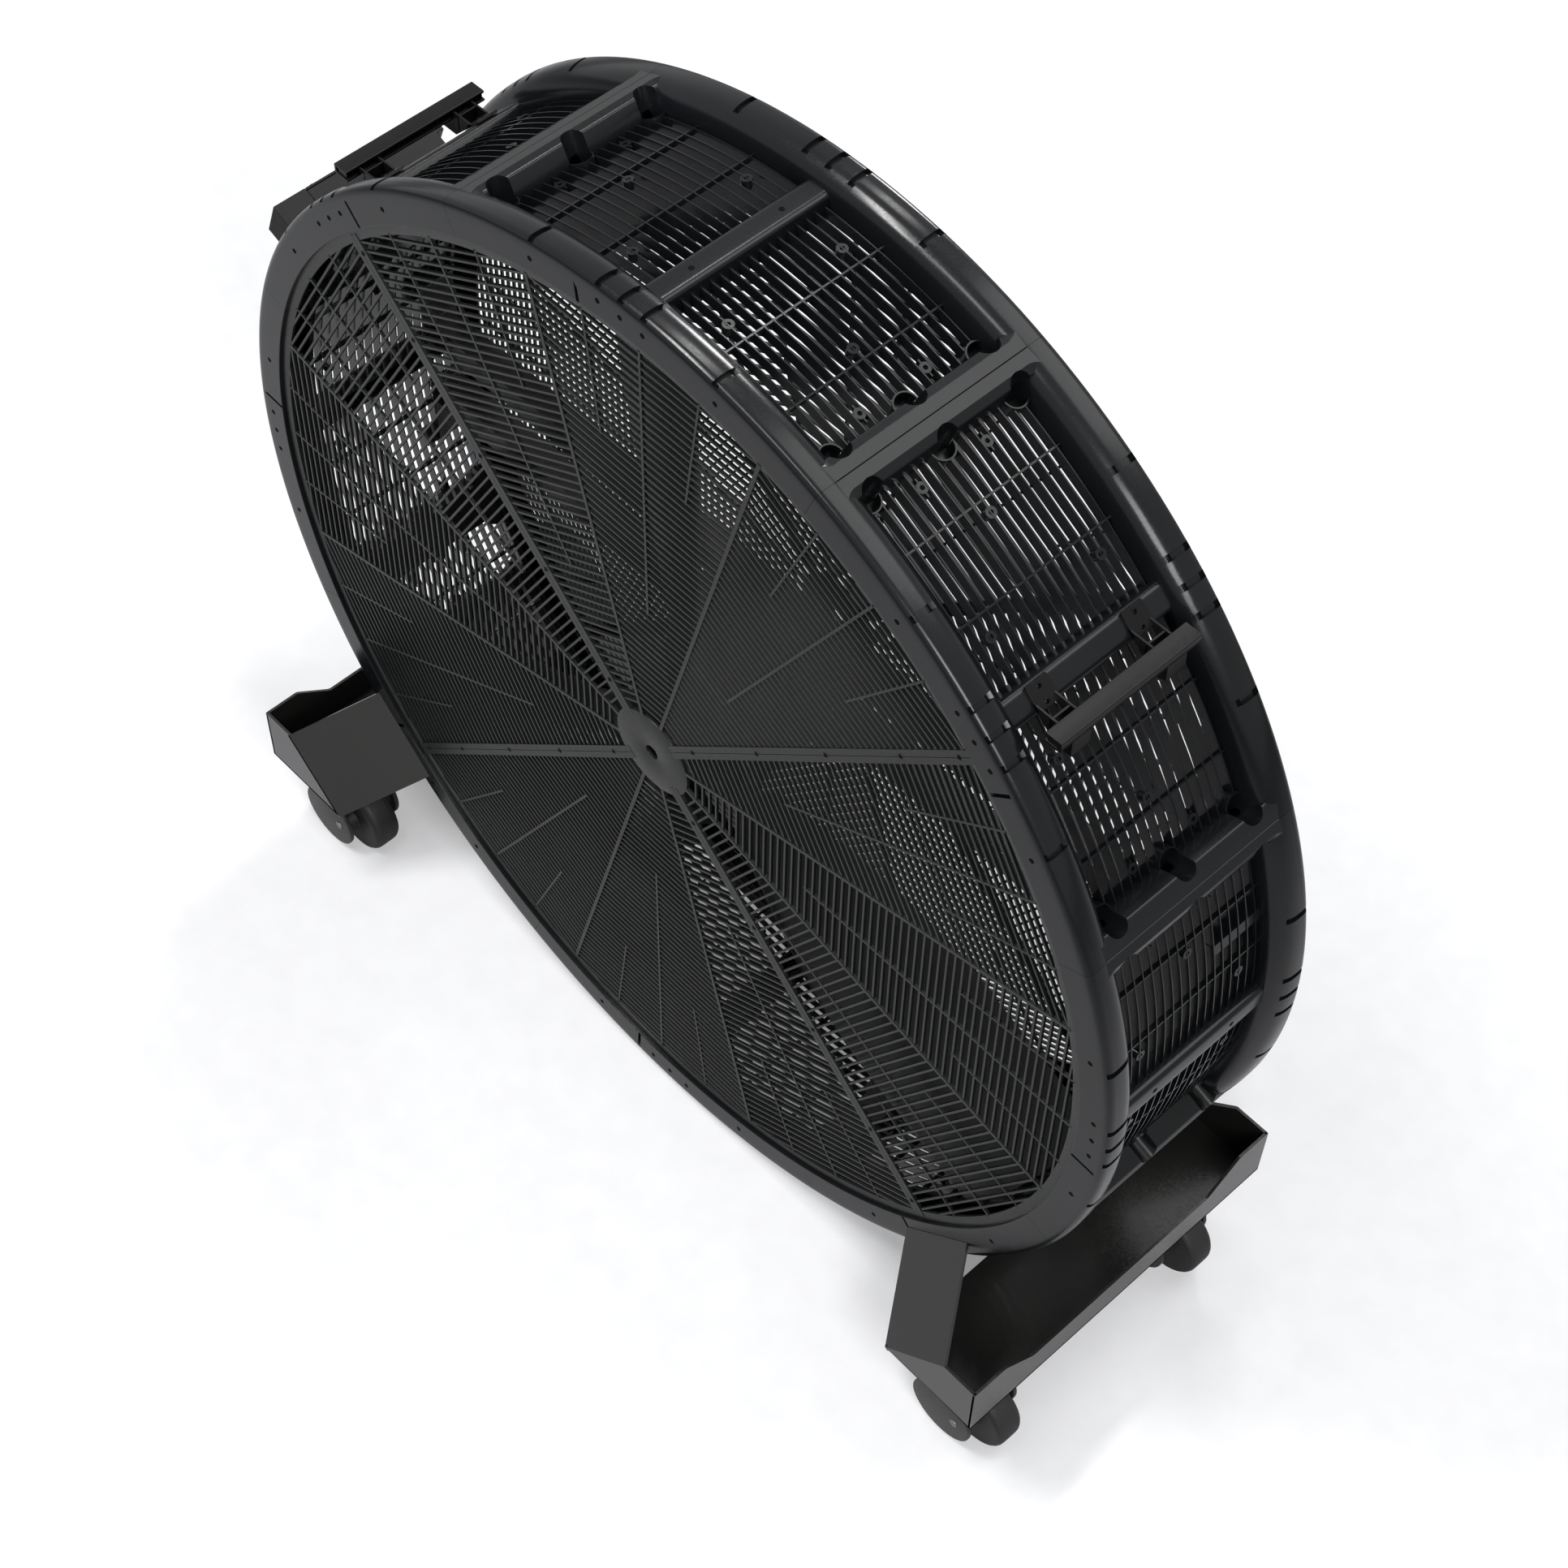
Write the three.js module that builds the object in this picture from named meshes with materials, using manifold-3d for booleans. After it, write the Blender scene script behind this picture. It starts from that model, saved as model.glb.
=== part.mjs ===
// A large drum fan that stands on two sheet-metal troughs with swivel casters.
// Millimetres, +Z up, the floor at Z 0. The front grille faces -Y. Angles round the drum
// are counted from +X towards +Z, as seen from the front.
import * as THREE from 'three';
import { mergeVertices } from 'three/addons/utils/BufferGeometryUtils.js';
import Module from 'manifold-3d';

const wasm = await Module();
wasm.setup();

// ---------------------------------------------------------------- driving sizes
const GAP = 0.3;                  // clearance between pieces that seat on each other

// Drum housing: eight moulded panels.
const PANELS = 8;
const RIM_RADIUS = 585;           // outside of the two fat rims
const DRUM_DEPTH = 250;
const FLANGE_WIDTH = 36;          // flange, from the mouth to the rim
const WALL = 4;                   // moulded wall
const RIM_FLANGE_ROUND = 8;       // rounding between flange and rim
const RIM_WIDTH = 33;             // rim, front to back
const RIM_BACK_ROUND = 9;         // rounding behind the rim
const RECESS_SLOPE = 4;           // how far the recess wall leans
const FACETS = 48;                // facets round the drum
const RING_TURN = 1.7;            // the drum is turned this many degrees on its stand
const BEAM_DROP = 15;             // the beams' top faces lie this far below the rims
const MID_BEAM_WIDTH = 28;
const BEAM_SKIN = 3;
const BEAM_END_WALL = 12;
const RAIL_WIDTH = 22;            // half of each seam beam
const POCKET_PITCH = 81;
const POCKET_RADIUS = 13;
const POCKET_WALL = 7;            // what a pocket leaves at the seam
const LATTICE_ROWS = 3;
const LATTICE_SLAT = 7;
const LATTICE_RIB = 4;
const RIB_ANGLES = [11.25];
const MOUTH_RADIUS = RIM_RADIUS - FLANGE_WIDTH;   // also the outside of the barrel wall
const BARREL_IN = MOUTH_RADIUS - WALL;
const BEAM_TOP = RIM_RADIUS - BEAM_DROP;
const HALF_DEPTH = DRUM_DEPTH / 2;
const RECESS_END = RIM_WIDTH + RECESS_SLOPE;      // depth where the barrel wall starts
const PANEL_ANGLE = 360 / PANELS;

// Stand.
const FLOOR_CLEARANCE = 11;       // under the drum
const AXIS_HEIGHT = RIM_RADIUS + FLOOR_CLEARANCE;
const LEG_INSET = 33.6;           // trough's outer wall, inside the drum's widest point
const LEG_OUTER = RIM_RADIUS - LEG_INSET;
const LEG_WIDTH = 118.8;
const LEG_LENGTH = 421;
const LEG_UNDERSIDE = 115;
const LEG_SHEET = 3;
const LEG_END_HEIGHT = 76.6;
const LEG_MID_HEIGHT = 45;
const LEG_DIP_RUN = 42.5;         // from the end cap to where the wall starts to dip
const LEG_DIP_SLOPE = 42;
const CAP_TOP_WIDTH = 41.8;       // level top of an end cap
const GUSSET_SEAT = 23.3;         // gusset's foot on the flange, inside the rim
const CASTER_FRONT_INSET = 51.5;  // caster's middle, from the trough's end
const CASTER_BACK_INSET = 86.5;

// Grilles: four quadrants at the front and four at the back.
const GRILLE_RADIUS = RIM_RADIUS - WALL - RIM_FLANGE_ROUND / 2 - 5;
const GRILLE_BAND = 35;           // solid band outside the slots
const GRILLE_THICK = 3.2;
const GRILLE_HUB_RADIUS = 49;
const GRILLE_HOLE_RADIUS = 8;
const GRILLE_BAR = 11;            // half of a joining bar
const GRILLE_SPOKE = 5;
const GRILLE_ROWS = 5;
const GRILLE_SLAT = 6;
const MID_SPOKE_ROW = 2;          // middle spokes start in this row
const GRILLE_SECTOR = 30;
const GRILLE_WINDOW_RADIUS = GRILLE_RADIUS - GRILLE_BAND;

// Rotor.
const BLADES = 3;
const TIP_CLEARANCE = 14;         // between a blade's tip and the barrel
const BLADE_ROOT = 34;
const BLADE_THICK = 4;
const BLADE_STATIONS = 8;
const BLADE_ROOT_CHORD = 50;
const BLADE_TIP_CHORD = 205;
const BLADE_ROOT_PITCH = 30;
const BLADE_TIP_PITCH = 19;
const BLADE_FLARE = 220;          // the chord widens over this length
const BLADE_CAMBER = 0.06;
const BLADE_REST_ANGLE = -27;
const BLADE_PLANE = -72;          // middle of the blades, along Y
const HUB_RADIUS = 80;
const HUB_THICK = 8;
const HUB_BOSS_RADIUS = 24;
const HUB_BOSS_LENGTH = 14;
const PAD_BEYOND_HUB = 6;         // a blade's flat root pad ends outside the hub
const PAD_TWIST = 26;             // and the twist starts over this length
const SHAFT_RADIUS = 9.5;
const CAP_RADIUS = 30;
const CAP_THICK = 9;
const CAP_CHAMFER = 4;
const BLADE_TIP = BARREL_IN - TIP_CLEARANCE;

// Motor.
const MOTOR_RADIUS = 82;
const MOTOR_WALL = 8;
const MOTOR_LENGTH = 60;
const BELL_THICK = 14;
const BELL_NOSE_RADIUS = 34;
const BELL_SHOULDER = 8;
const BELL_CHAMFER = 3;
const BELL_RIM = 6;
const BELL_HOLE_CLEARANCE = 2;
const BEARING_RADIUS = 20;
const BEARING_WIDTH = 9;
const ROTOR_CORE_RADIUS = 48.7;
const AIR_GAP = 1.3;              // between the rotor core and the stator
const CORE_LENGTH = 44;
const STATOR_BORE = ROTOR_CORE_RADIUS + AIR_GAP;
const MOTOR_FRONT = -MOTOR_LENGTH / 2;
const MOTOR_BACK = MOTOR_LENGTH / 2;

// Motor carrier across the drum.
const CARRIER_PLATE = 5;
const CARRIER_PLATE_HALF = 90;
const CARRIER_CORNER = 18;
const CARRIER_HOLE_CLEARANCE = 4;
const TUBE_SIZE = 30;
const TUBE_WALL = 2.5;
const TUBE_HEIGHT = 45;           // tube centres above and below the axis
const FOOT_THICK = 4;
const FOOT_LIP = 6;
const FOOT_LOW = 20;
// Each foot plate's outer corner seats on an axial rib of the drum wall.
const FOOT_RIB_ANGLE = THREE.MathUtils.degToRad(RIB_ANGLES[0]);
const FOOT_SEAT = BARREL_IN * Math.cos(Math.PI / FACETS) - GAP;
const FOOT_HIGH = FOOT_SEAT * Math.sin(FOOT_RIB_ANGLE) + LATTICE_RIB / 2;
const FOOT_REACH = (FOOT_SEAT - FOOT_HIGH * Math.sin(FOOT_RIB_ANGLE)) / Math.cos(FOOT_RIB_ANGLE);

// Casters.
const WHEEL_RADIUS = 47.5;
const WHEEL_WIDTH = 33;
const WHEEL_ROUND = 4;
const WHEEL_CORE_RADIUS = 13;
const WHEEL_TRAIL = 26;
const CHEEK_RADIUS = 39.4;
const CHEEK_TRAIL = 7.5;
const CHEEK_THICK = 5;
const CHEEK_NECK = 24;            // half width where a cheek joins the crown
const CHEEK_NECK_START = 20;
const FORK_WIDTH = 70;
const CROWN_THICK = 4;
const CROWN_HALF = 31;
const WHEEL_TOP_CLEARANCE = 4;
const CROWN_HEIGHT = 2 * WHEEL_RADIUS + WHEEL_TOP_CLEARANCE;
const CASTER_PLATE = [96, 84, 4];
const RACE_RADIUS = 30;
const AXLE_RADIUS = 5;
const AXLE_PROUD = 1;

// Handles. Their places are counted from the middle of the beam's top face at 45 degrees.
const HANDLE_SEAT = BEAM_TOP * Math.SQRT1_2;
const GRIP_LENGTH = 160;
const GRIP_WIDTH = 18;
const GRIP_HEIGHT = 12;
const GRIP_WALL = 3;
const GRIP_CHAMFER = 4;
const GRIP_RIBS = 3;
const GRIP_RIB = 2;
const GRIP_REACH = 47.6;          // grip's outer face beyond the seat
const GRIP_RISE = 1.5;            // grip's top above the seat
const STRUT_DROP = 1.6;           // strut's top below the seat
const STRUT_WIDTH = 22.8;
const STRUT_SPACING = 108.6;
const STRUT_WALL = 2;
const STRUT_DEPTH = 26.4;
const STRUT_ROOT = 25;            // struts start this far inside the beam's face
const STRUT_CELL = 8;             // outer cell, between the rib and the grip
const PAD_THICK = 3;
const PAD_HALF = 12;
const GRIP_OUT = HANDLE_SEAT + GRIP_REACH;
const GRIP_TOP = HANDLE_SEAT + GRIP_RISE;
const STRUT_TOP = HANDLE_SEAT - STRUT_DROP;

// Switch box on one seam beam.
const BOX_ANGLE = 157.5;
const BOX_HALF_WIDTH = 22;
const BOX_HEIGHT = 65;            // top of the box above the beams
const BOX_TOP = BEAM_TOP + BOX_HEIGHT;
const BOX_FRONT_INSET = 50;       // box ends, from the drum's two faces
const BOX_BACK_INSET = 15;
const BOX_FRONT = BOX_FRONT_INSET - HALF_DEPTH;
const BOX_BACK = HALF_DEPTH - BOX_BACK_INSET;
const BOX_CAP_LENGTH = 38;
const BOX_SHEET = 2.5;
const BOX_LID = 3;
const KNOB_RADIUS = 11;
const KNOB_THICK = 14;
const KNOB_PLATE = 7.7;
const KNOB_POINTER = 5;
const GLAND_RADIUS = 8;
const GLAND_COLLAR = 2;
const GLAND_COLLAR_LENGTH = 7;
const GLAND_LENGTH = 20;

// ---------------------------------------------------------------- colours
const BLACK_PLASTIC = new THREE.MeshStandardMaterial({ color: 0x1b1c1d, roughness: 0.5, metalness: 0 });
const GRILLE_PLASTIC = new THREE.MeshStandardMaterial({ color: 0x202122, roughness: 0.6, metalness: 0 });
const POWDER_COAT = new THREE.MeshStandardMaterial({ color: 0x2c2d2e, roughness: 0.55, metalness: 0.3 });
const BLADE_METAL = new THREE.MeshStandardMaterial({ color: 0x3a3c3e, roughness: 0.45, metalness: 0.6 });
const STEEL = new THREE.MeshStandardMaterial({ color: 0x8d9094, roughness: 0.35, metalness: 1 });
const MOTOR_PAINT = new THREE.MeshStandardMaterial({ color: 0x18191a, roughness: 0.5, metalness: 0.4 });
const RUBBER = new THREE.MeshStandardMaterial({ color: 0x161616, roughness: 0.8, metalness: 0 });

// ---------------------------------------------------------------- helpers
const rad = THREE.MathUtils.degToRad;

// A closed three.js geometry as a solid that can be joined and cut.
function solid(geometry) {
  const bare = geometry.clone();
  bare.deleteAttribute('normal');
  bare.deleteAttribute('uv');
  const merged = mergeVertices(bare, 1e-4);
  const mesh = new wasm.Mesh({
    numProp: 3,
    vertProperties: new Float32Array(merged.attributes.position.array),
    triVerts: new Uint32Array(merged.index.array),
  });
  return new wasm.Manifold(mesh);
}

// A solid as a three.js geometry.
function geometryOf(body) {
  const mesh = body.getMesh();
  const geometry = new THREE.BufferGeometry();
  geometry.setAttribute('position', new THREE.BufferAttribute(new Float32Array(mesh.vertProperties), 3));
  geometry.setIndex(new THREE.BufferAttribute(new Uint32Array(mesh.triVerts), 1));
  geometry.computeVertexNormals();
  return geometry;
}

// A box between two corners.
function box(x0, x1, y0, y1, z0, z1) {
  const geometry = new THREE.BoxGeometry(x1 - x0, y1 - y0, z1 - z0);
  geometry.translate((x0 + x1) / 2, (y0 + y1) / 2, (z0 + z1) / 2);
  return geometry;
}

// A round bar along Y or Z.
function barY(radius, y0, y1, x = 0, z = 0, sides = 20) {
  const geometry = new THREE.CylinderGeometry(radius, radius, y1 - y0, sides);
  geometry.translate(x, (y0 + y1) / 2, z);
  return geometry;
}

function barZ(radius, z0, z1, x = 0, y = 0, sides = 20) {
  const geometry = new THREE.CylinderGeometry(radius, radius, z1 - z0, sides);
  geometry.rotateX(Math.PI / 2);
  geometry.translate(x, y, (z0 + z1) / 2);
  return geometry;
}

// An outline in X and Z, with optional holes, carried along Y.
function prismY(outline, y0, y1, holes = []) {
  const toPoints = (list) => list.map(([x, z]) => new THREE.Vector2(x, z));
  const shape = new THREE.Shape(toPoints(outline));
  shape.holes = holes.map((hole) => new THREE.Path(toPoints(hole)));
  const geometry = new THREE.ExtrudeGeometry(shape, { depth: y1 - y0, bevelEnabled: false });
  geometry.rotateX(Math.PI / 2);
  geometry.translate(0, y1, 0);
  return geometry;
}

// An outline in Y and Z carried along X.
function prismX(outline, x0, x1) {
  const shape = new THREE.Shape(outline.map(([y, z]) => new THREE.Vector2(y, z)));
  const geometry = new THREE.ExtrudeGeometry(shape, { depth: x1 - x0, bevelEnabled: false });
  const axes = new THREE.Matrix4().makeBasis(
    new THREE.Vector3(0, 1, 0), new THREE.Vector3(0, 0, 1), new THREE.Vector3(1, 0, 0));
  geometry.applyMatrix4(axes);
  geometry.translate(x0, 0, 0);
  return geometry;
}

// A closed ring: an outline of [radius, y] points turned round the fan axis, either way
// round.
function ringY(outline, sides = 20) {
  const points = outline.map(([r, y]) => new THREE.Vector2(r, y));
  if (THREE.ShapeUtils.isClockWise(points)) {
    points.reverse();
  }
  points.push(points[0].clone());
  return new THREE.LatheGeometry(points, sides);
}

// A point at a radius and angle in the plane of the drum.
function polar(radius, degrees) {
  return [radius * Math.cos(rad(degrees)), radius * Math.sin(rad(degrees))];
}

// Turns a geometry round the fan axis, counter-clockwise as seen from the front.
function turned(geometry, degrees) {
  return geometry.clone().rotateY(-rad(degrees));
}

// The same geometry mirrored left to right.
function mirrored(geometry) {
  const copy = geometry.clone().scale(-1, 1, 1);
  const index = copy.index;
  for (let i = 0; i < index.count; i += 3) {
    const first = index.getX(i);
    index.setX(i, index.getX(i + 1));
    index.setX(i + 1, first);
  }
  copy.computeVertexNormals();
  return copy;
}

function joined(geometries) {
  return geometries.map(solid).reduce((sum, next) => sum.add(next));
}

function cut(body, geometries) {
  return geometries.map(solid).reduce((rest, next) => rest.subtract(next), body);
}

const fan = new THREE.Group();
const drum = new THREE.Group();       // turned on the stand with the housing
drum.position.z = AXIS_HEIGHT;
drum.rotation.y = -rad(RING_TURN);
const upright = new THREE.Group();    // level with the stand: the grilles
upright.position.z = AXIS_HEIGHT;
fan.add(drum, upright);

function place(name, geometry, material, parent, x = 0, y = 0, z = 0) {
  const mesh = new THREE.Mesh(geometry, material);
  mesh.name = name;
  mesh.position.set(x, y, z);
  parent.add(mesh);
  return mesh;
}

// ---------------------------------------------------------------- housing panels
// Half of the wall's outline, from the flange to the middle, as [radius, depth] points.
function rimOutline() {
  const inner = RIM_RADIUS - WALL;
  return {
    outside: [
      [MOUTH_RADIUS, 0],
      [RIM_RADIUS - RIM_FLANGE_ROUND, 0],
      [RIM_RADIUS, RIM_FLANGE_ROUND],
      [RIM_RADIUS, RIM_WIDTH - RIM_BACK_ROUND],
      [RIM_RADIUS - RIM_BACK_ROUND, RIM_WIDTH],
      [MOUTH_RADIUS, RECESS_END],
    ],
    inside: [
      [BARREL_IN, RECESS_END - WALL],
      [inner - RIM_BACK_ROUND + WALL / 2, RIM_WIDTH - WALL],
      [inner, RIM_WIDTH - RIM_BACK_ROUND - WALL / 2],
      [inner, RIM_FLANGE_ROUND + WALL / 2],
      [inner - RIM_FLANGE_ROUND + WALL / 2, WALL],
      [MOUTH_RADIUS, WALL],
    ],
  };
}

function housingRing() {
  const { outside, inside } = rimOutline();
  const front = ([r, d]) => [r, d - HALF_DEPTH];
  const back = ([r, d]) => [r, HALF_DEPTH - d];
  const outline = [
    ...outside.map(front),
    ...[...outside].reverse().map(back),
    ...[...inside].reverse().map(back),
    ...inside.map(front),
  ];
  return ringY(outline, FACETS);
}

// One panel, centred on +X: its share of the ring, a middle beam, two seam rails with
// bolt pockets, and the lattice between them.
function housingPanel() {
  const half = PANEL_ANGLE / 2;
  const apex = GAP / 2 / Math.sin(rad(half));
  const reach = RIM_RADIUS * 1.3;
  const [wx, wz] = polar(reach, half);
  const wedge = prismY([[apex, 0], [apex + wx, -wz], [apex + wx, wz]], -DRUM_DEPTH, DRUM_DEPTH);
  let body = solid(housingRing()).intersect(solid(wedge));

  const beamEnd = HALF_DEPTH - RIM_WIDTH - GAP;
  const beamHalf = MID_BEAM_WIDTH / 2;
  const pieces = [box(BARREL_IN + WALL / 8, BEAM_TOP, -beamEnd, beamEnd, -beamHalf, beamHalf)];
  const cuts = [box(BARREL_IN - WALL, BEAM_TOP - BEAM_SKIN, BEAM_END_WALL - beamEnd, beamEnd - BEAM_END_WALL,
    BEAM_SKIN - MID_BEAM_WIDTH / 2, MID_BEAM_WIDTH / 2 - BEAM_SKIN)];
  for (const side of [-1, 1]) {
    const low = side > 0 ? -RAIL_WIDTH : GAP / 2;
    const rail = box(BARREL_IN + WALL / 8, BEAM_TOP, -beamEnd, beamEnd, low, low + RAIL_WIDTH - GAP / 2);
    pieces.push(turned(rail, side * half));
    for (const place of [-1, 0, 1]) {
      const pocket = new THREE.CylinderGeometry(POCKET_RADIUS, POCKET_RADIUS, RAIL_WIDTH, 6, 1);
      pocket.rotateX(Math.PI / 2);
      pocket.translate(BEAM_TOP + GAP, place * POCKET_PITCH, -side * (POCKET_WALL + RAIL_WIDTH / 2));
      cuts.push(turned(pocket, side * half));
    }
  }
  body = pieces.map(solid).reduce((sum, next) => sum.add(next), body);

  // Lattice windows between the beams and the ribs.
  const beamEdge = THREE.MathUtils.radToDeg((MID_BEAM_WIDTH / 2 + WALL / 2) / MOUTH_RADIUS);
  const railEdge = half - THREE.MathUtils.radToDeg((RAIL_WIDTH + WALL / 2) / MOUTH_RADIUS);
  const ribHalf = THREE.MathUtils.radToDeg(LATTICE_RIB / 2 / MOUTH_RADIUS);
  const edges = [beamEdge];
  for (const rib of RIB_ANGLES) {
    edges.push(rib - ribHalf, rib + ribHalf);
  }
  edges.push(railEdge);
  const span = 2 * (HALF_DEPTH - RECESS_END) - LATTICE_SLAT;
  const pitch = span / LATTICE_ROWS;
  for (let column = 0; column < edges.length; column += 2) {
    for (const side of [-1, 1]) {
      const a0 = side * edges[column];
      const a1 = side * edges[column + 1];
      const outline = [polar(BARREL_IN - 2 * WALL, a0), polar(MOUTH_RADIUS + 2 * WALL, a0),
        polar(MOUTH_RADIUS + 2 * WALL, a1), polar(BARREL_IN - 2 * WALL, a1)];
      for (let row = 0; row < LATTICE_ROWS; row += 1) {
        const y0 = -span / 2 + row * pitch + LATTICE_SLAT / 2;
        cuts.push(prismY(side > 0 ? outline : [...outline].reverse(), y0, y0 + pitch - LATTICE_SLAT));
      }
    }
  }
  return geometryOf(cut(body, cuts));
}

const panel = housingPanel();
for (let k = 0; k < PANELS; k += 1) {
  const mesh = place(`housing_panel_${k * PANEL_ANGLE}`, panel, BLACK_PLASTIC, drum);
  mesh.rotation.y = -rad(k * PANEL_ANGLE);
}

// ---------------------------------------------------------------- grille quadrants
// Windows of one sector, centred on the given angle. Slats run square to the sector's
// middle, and a spoke joins in from part of the way out.
function sectorWindows(middle, halfLeft, halfRight) {
  const tan = Math.tan(rad(GRILLE_SECTOR / 2));
  const start = GRILLE_HUB_RADIUS + GRILLE_SLAT;
  const end = GRILLE_WINDOW_RADIUS * Math.cos(rad(GRILLE_SECTOR / 2));
  const pitch = (end - start) / GRILLE_ROWS;
  const edge = (u, halfWidth) => u * tan - halfWidth;
  const spoke = GRILLE_SPOKE / 2;
  const windows = [];
  for (let row = 0; row < GRILLE_ROWS; row += 1) {
    const u0 = start + row * pitch;
    const u1 = u0 + pitch - GRILLE_SLAT;
    const right = [[u0, -edge(u0, halfRight)], [u1, -edge(u1, halfRight)]];
    const left = [[u1, edge(u1, halfLeft)], [u0, edge(u0, halfLeft)]];
    if (row >= MID_SPOKE_ROW) {
      windows.push([...right, [u1, -spoke], [u0, -spoke]], [[u0, spoke], [u1, spoke], ...left]);
    } else {
      windows.push([...right, ...left]);
    }
  }
  return windows.map((outline) => turned(prismY(outline, -GRILLE_THICK, 2 * GRILLE_THICK), middle));
}

// One quadrant between two joining bars, centred on +X: a flat plate with its slots.
function grilleQuadrant() {
  const offset = GAP / 2 * Math.SQRT2;
  const outline = [];
  for (let a = -45; a <= 45; a += 360 / FACETS) {
    const [x, z] = polar(GRILLE_RADIUS, a);
    outline.push([x + offset, z]);
  }
  for (const a of [45, 15, -15, -45]) {
    const [x, z] = polar(GRILLE_HOLE_RADIUS, a);
    outline.push([x + offset, z]);
  }
  const windows = [-1, 0, 1].flatMap((sector) => sectorWindows(
    sector * GRILLE_SECTOR,
    sector === 1 ? GRILLE_BAR : GRILLE_SPOKE / 2,
    sector === -1 ? GRILLE_BAR : GRILLE_SPOKE / 2,
  ));
  return geometryOf(cut(solid(prismY(outline, 0, GRILLE_THICK)), windows));
}

const quadrant = grilleQuadrant();
const GRILLE_FRONT = -HALF_DEPTH + WALL + GAP;
['right', 'top', 'left', 'bottom'].forEach((name, k) => {
  const front = place(`front_grille_${name}`, quadrant, GRILLE_PLASTIC, upright, 0, GRILLE_FRONT, 0);
  const back = -GRILLE_FRONT - GRILLE_THICK;
  const rear = place(`rear_grille_${name}`, quadrant, GRILLE_PLASTIC, upright, 0, back, 0);
  front.rotation.y = -rad(90 * k);
  rear.rotation.y = -rad(90 * k);
});

// ---------------------------------------------------------------- rotor
// A twisted blade along +X with a flat pad at its root, as a closed skin.
function blade() {
  const across = 4;
  const top = [];
  const bottom = [];
  const hubFront = BLADE_PLANE - BLADE_THICK;
  const padEnd = HUB_RADIUS + PAD_BEYOND_HUB;
  for (let i = 0; i <= BLADE_STATIONS; i += 1) {
    const u = i / BLADE_STATIONS;
    const r = i < 2 ? [BLADE_ROOT, padEnd][i]
      : padEnd + PAD_TWIST + (BLADE_TIP - padEnd - PAD_TWIST) * ((i - 2) / (BLADE_STATIONS - 2));
    const open = i < 2 ? 0 : 1;
    const grow = Math.min(1, Math.max(0, (r - padEnd) / BLADE_FLARE));
    const chord = BLADE_ROOT_CHORD + (BLADE_TIP_CHORD - BLADE_ROOT_CHORD) * (0.75 * grow + 0.25 * u * open);
    const pitch = rad(open * (BLADE_ROOT_PITCH + (BLADE_TIP_PITCH - BLADE_ROOT_PITCH) * u));
    for (let j = 0; j <= across; j += 1) {
      const s = j / across - 0.5;
      const t = s * chord * Math.cos(pitch);
      const camber = open * BLADE_CAMBER * chord * (1 - 4 * s * s);
      const y = hubFront + s * chord * Math.sin(pitch) - camber;
      const x = Math.sqrt(Math.max(r * r - t * t * open, 1));
      top.push([x, y, t]);
      bottom.push([x, y + BLADE_THICK, t]);
    }
  }
  const positions = [...top, ...bottom].flat();
  const columns = across + 1;
  const count = top.length;
  const index = [];
  const quad = (a, b, c, d) => index.push(a, b, c, a, c, d);
  for (let i = 0; i < BLADE_STATIONS; i += 1) {
    for (let j = 0; j < across; j += 1) {
      const a = i * columns + j;
      quad(a, a + columns, a + columns + 1, a + 1);
      quad(count + a, count + a + 1, count + a + columns + 1, count + a + columns);
    }
    const near = i * columns;
    const far = near + across;
    quad(near, count + near, count + near + columns, near + columns);
    quad(far, far + columns, count + far + columns, count + far);
  }
  for (let j = 0; j < across; j += 1) {
    const last = BLADE_STATIONS * columns + j;
    quad(j, j + 1, count + j + 1, count + j);
    quad(last, count + last, count + last + 1, last + 1);
  }
  const geometry = new THREE.BufferGeometry();
  geometry.setAttribute('position', new THREE.Float32BufferAttribute(positions, 3));
  geometry.setIndex(index);
  geometry.computeVertexNormals();
  return geometry;
}

const bladeShape = blade();
for (let k = 0; k < BLADES; k += 1) {
  const mesh = place(`fan_blade_${k + 1}`, bladeShape, BLADE_METAL, drum);
  mesh.rotation.y = -rad(BLADE_REST_ANGLE + (360 / BLADES) * k);
}

// Hub disc behind the blade pads, with a boss on the shaft.
const HUB_FRONT = BLADE_PLANE + GAP;
place('fan_hub', ringY([
  [SHAFT_RADIUS + GAP, HUB_FRONT],
  [HUB_RADIUS, HUB_FRONT],
  [HUB_RADIUS, HUB_FRONT + HUB_THICK],
  [HUB_BOSS_RADIUS, HUB_FRONT + HUB_THICK],
  [HUB_BOSS_RADIUS, HUB_FRONT + HUB_THICK + HUB_BOSS_LENGTH],
  [SHAFT_RADIUS + GAP, HUB_FRONT + HUB_THICK + HUB_BOSS_LENGTH],
]), STEEL, drum);

// Round cap over the shaft's end, in front of the blade pads.
const PAD_FRONT = BLADE_PLANE - BLADE_THICK;
place('hub_cap', ringY([
  [SHAFT_RADIUS + GAP, PAD_FRONT - GAP],
  [CAP_RADIUS, PAD_FRONT - GAP],
  [CAP_RADIUS - CAP_CHAMFER, PAD_FRONT - GAP - CAP_THICK],
  [SHAFT_RADIUS + GAP, PAD_FRONT - GAP - CAP_THICK],
]), BLACK_PLASTIC, drum);

// ---------------------------------------------------------------- motor
const BELL_FRONT = MOTOR_FRONT - GAP - BELL_THICK;
const BELL_BACK = MOTOR_BACK + GAP + BELL_THICK;

// A shaft with its two ends inside the bearings.
place('motor_shaft', barY(SHAFT_RADIUS, PAD_FRONT - CAP_THICK, MOTOR_BACK + GAP + BEARING_WIDTH),
  STEEL, drum);

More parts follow.
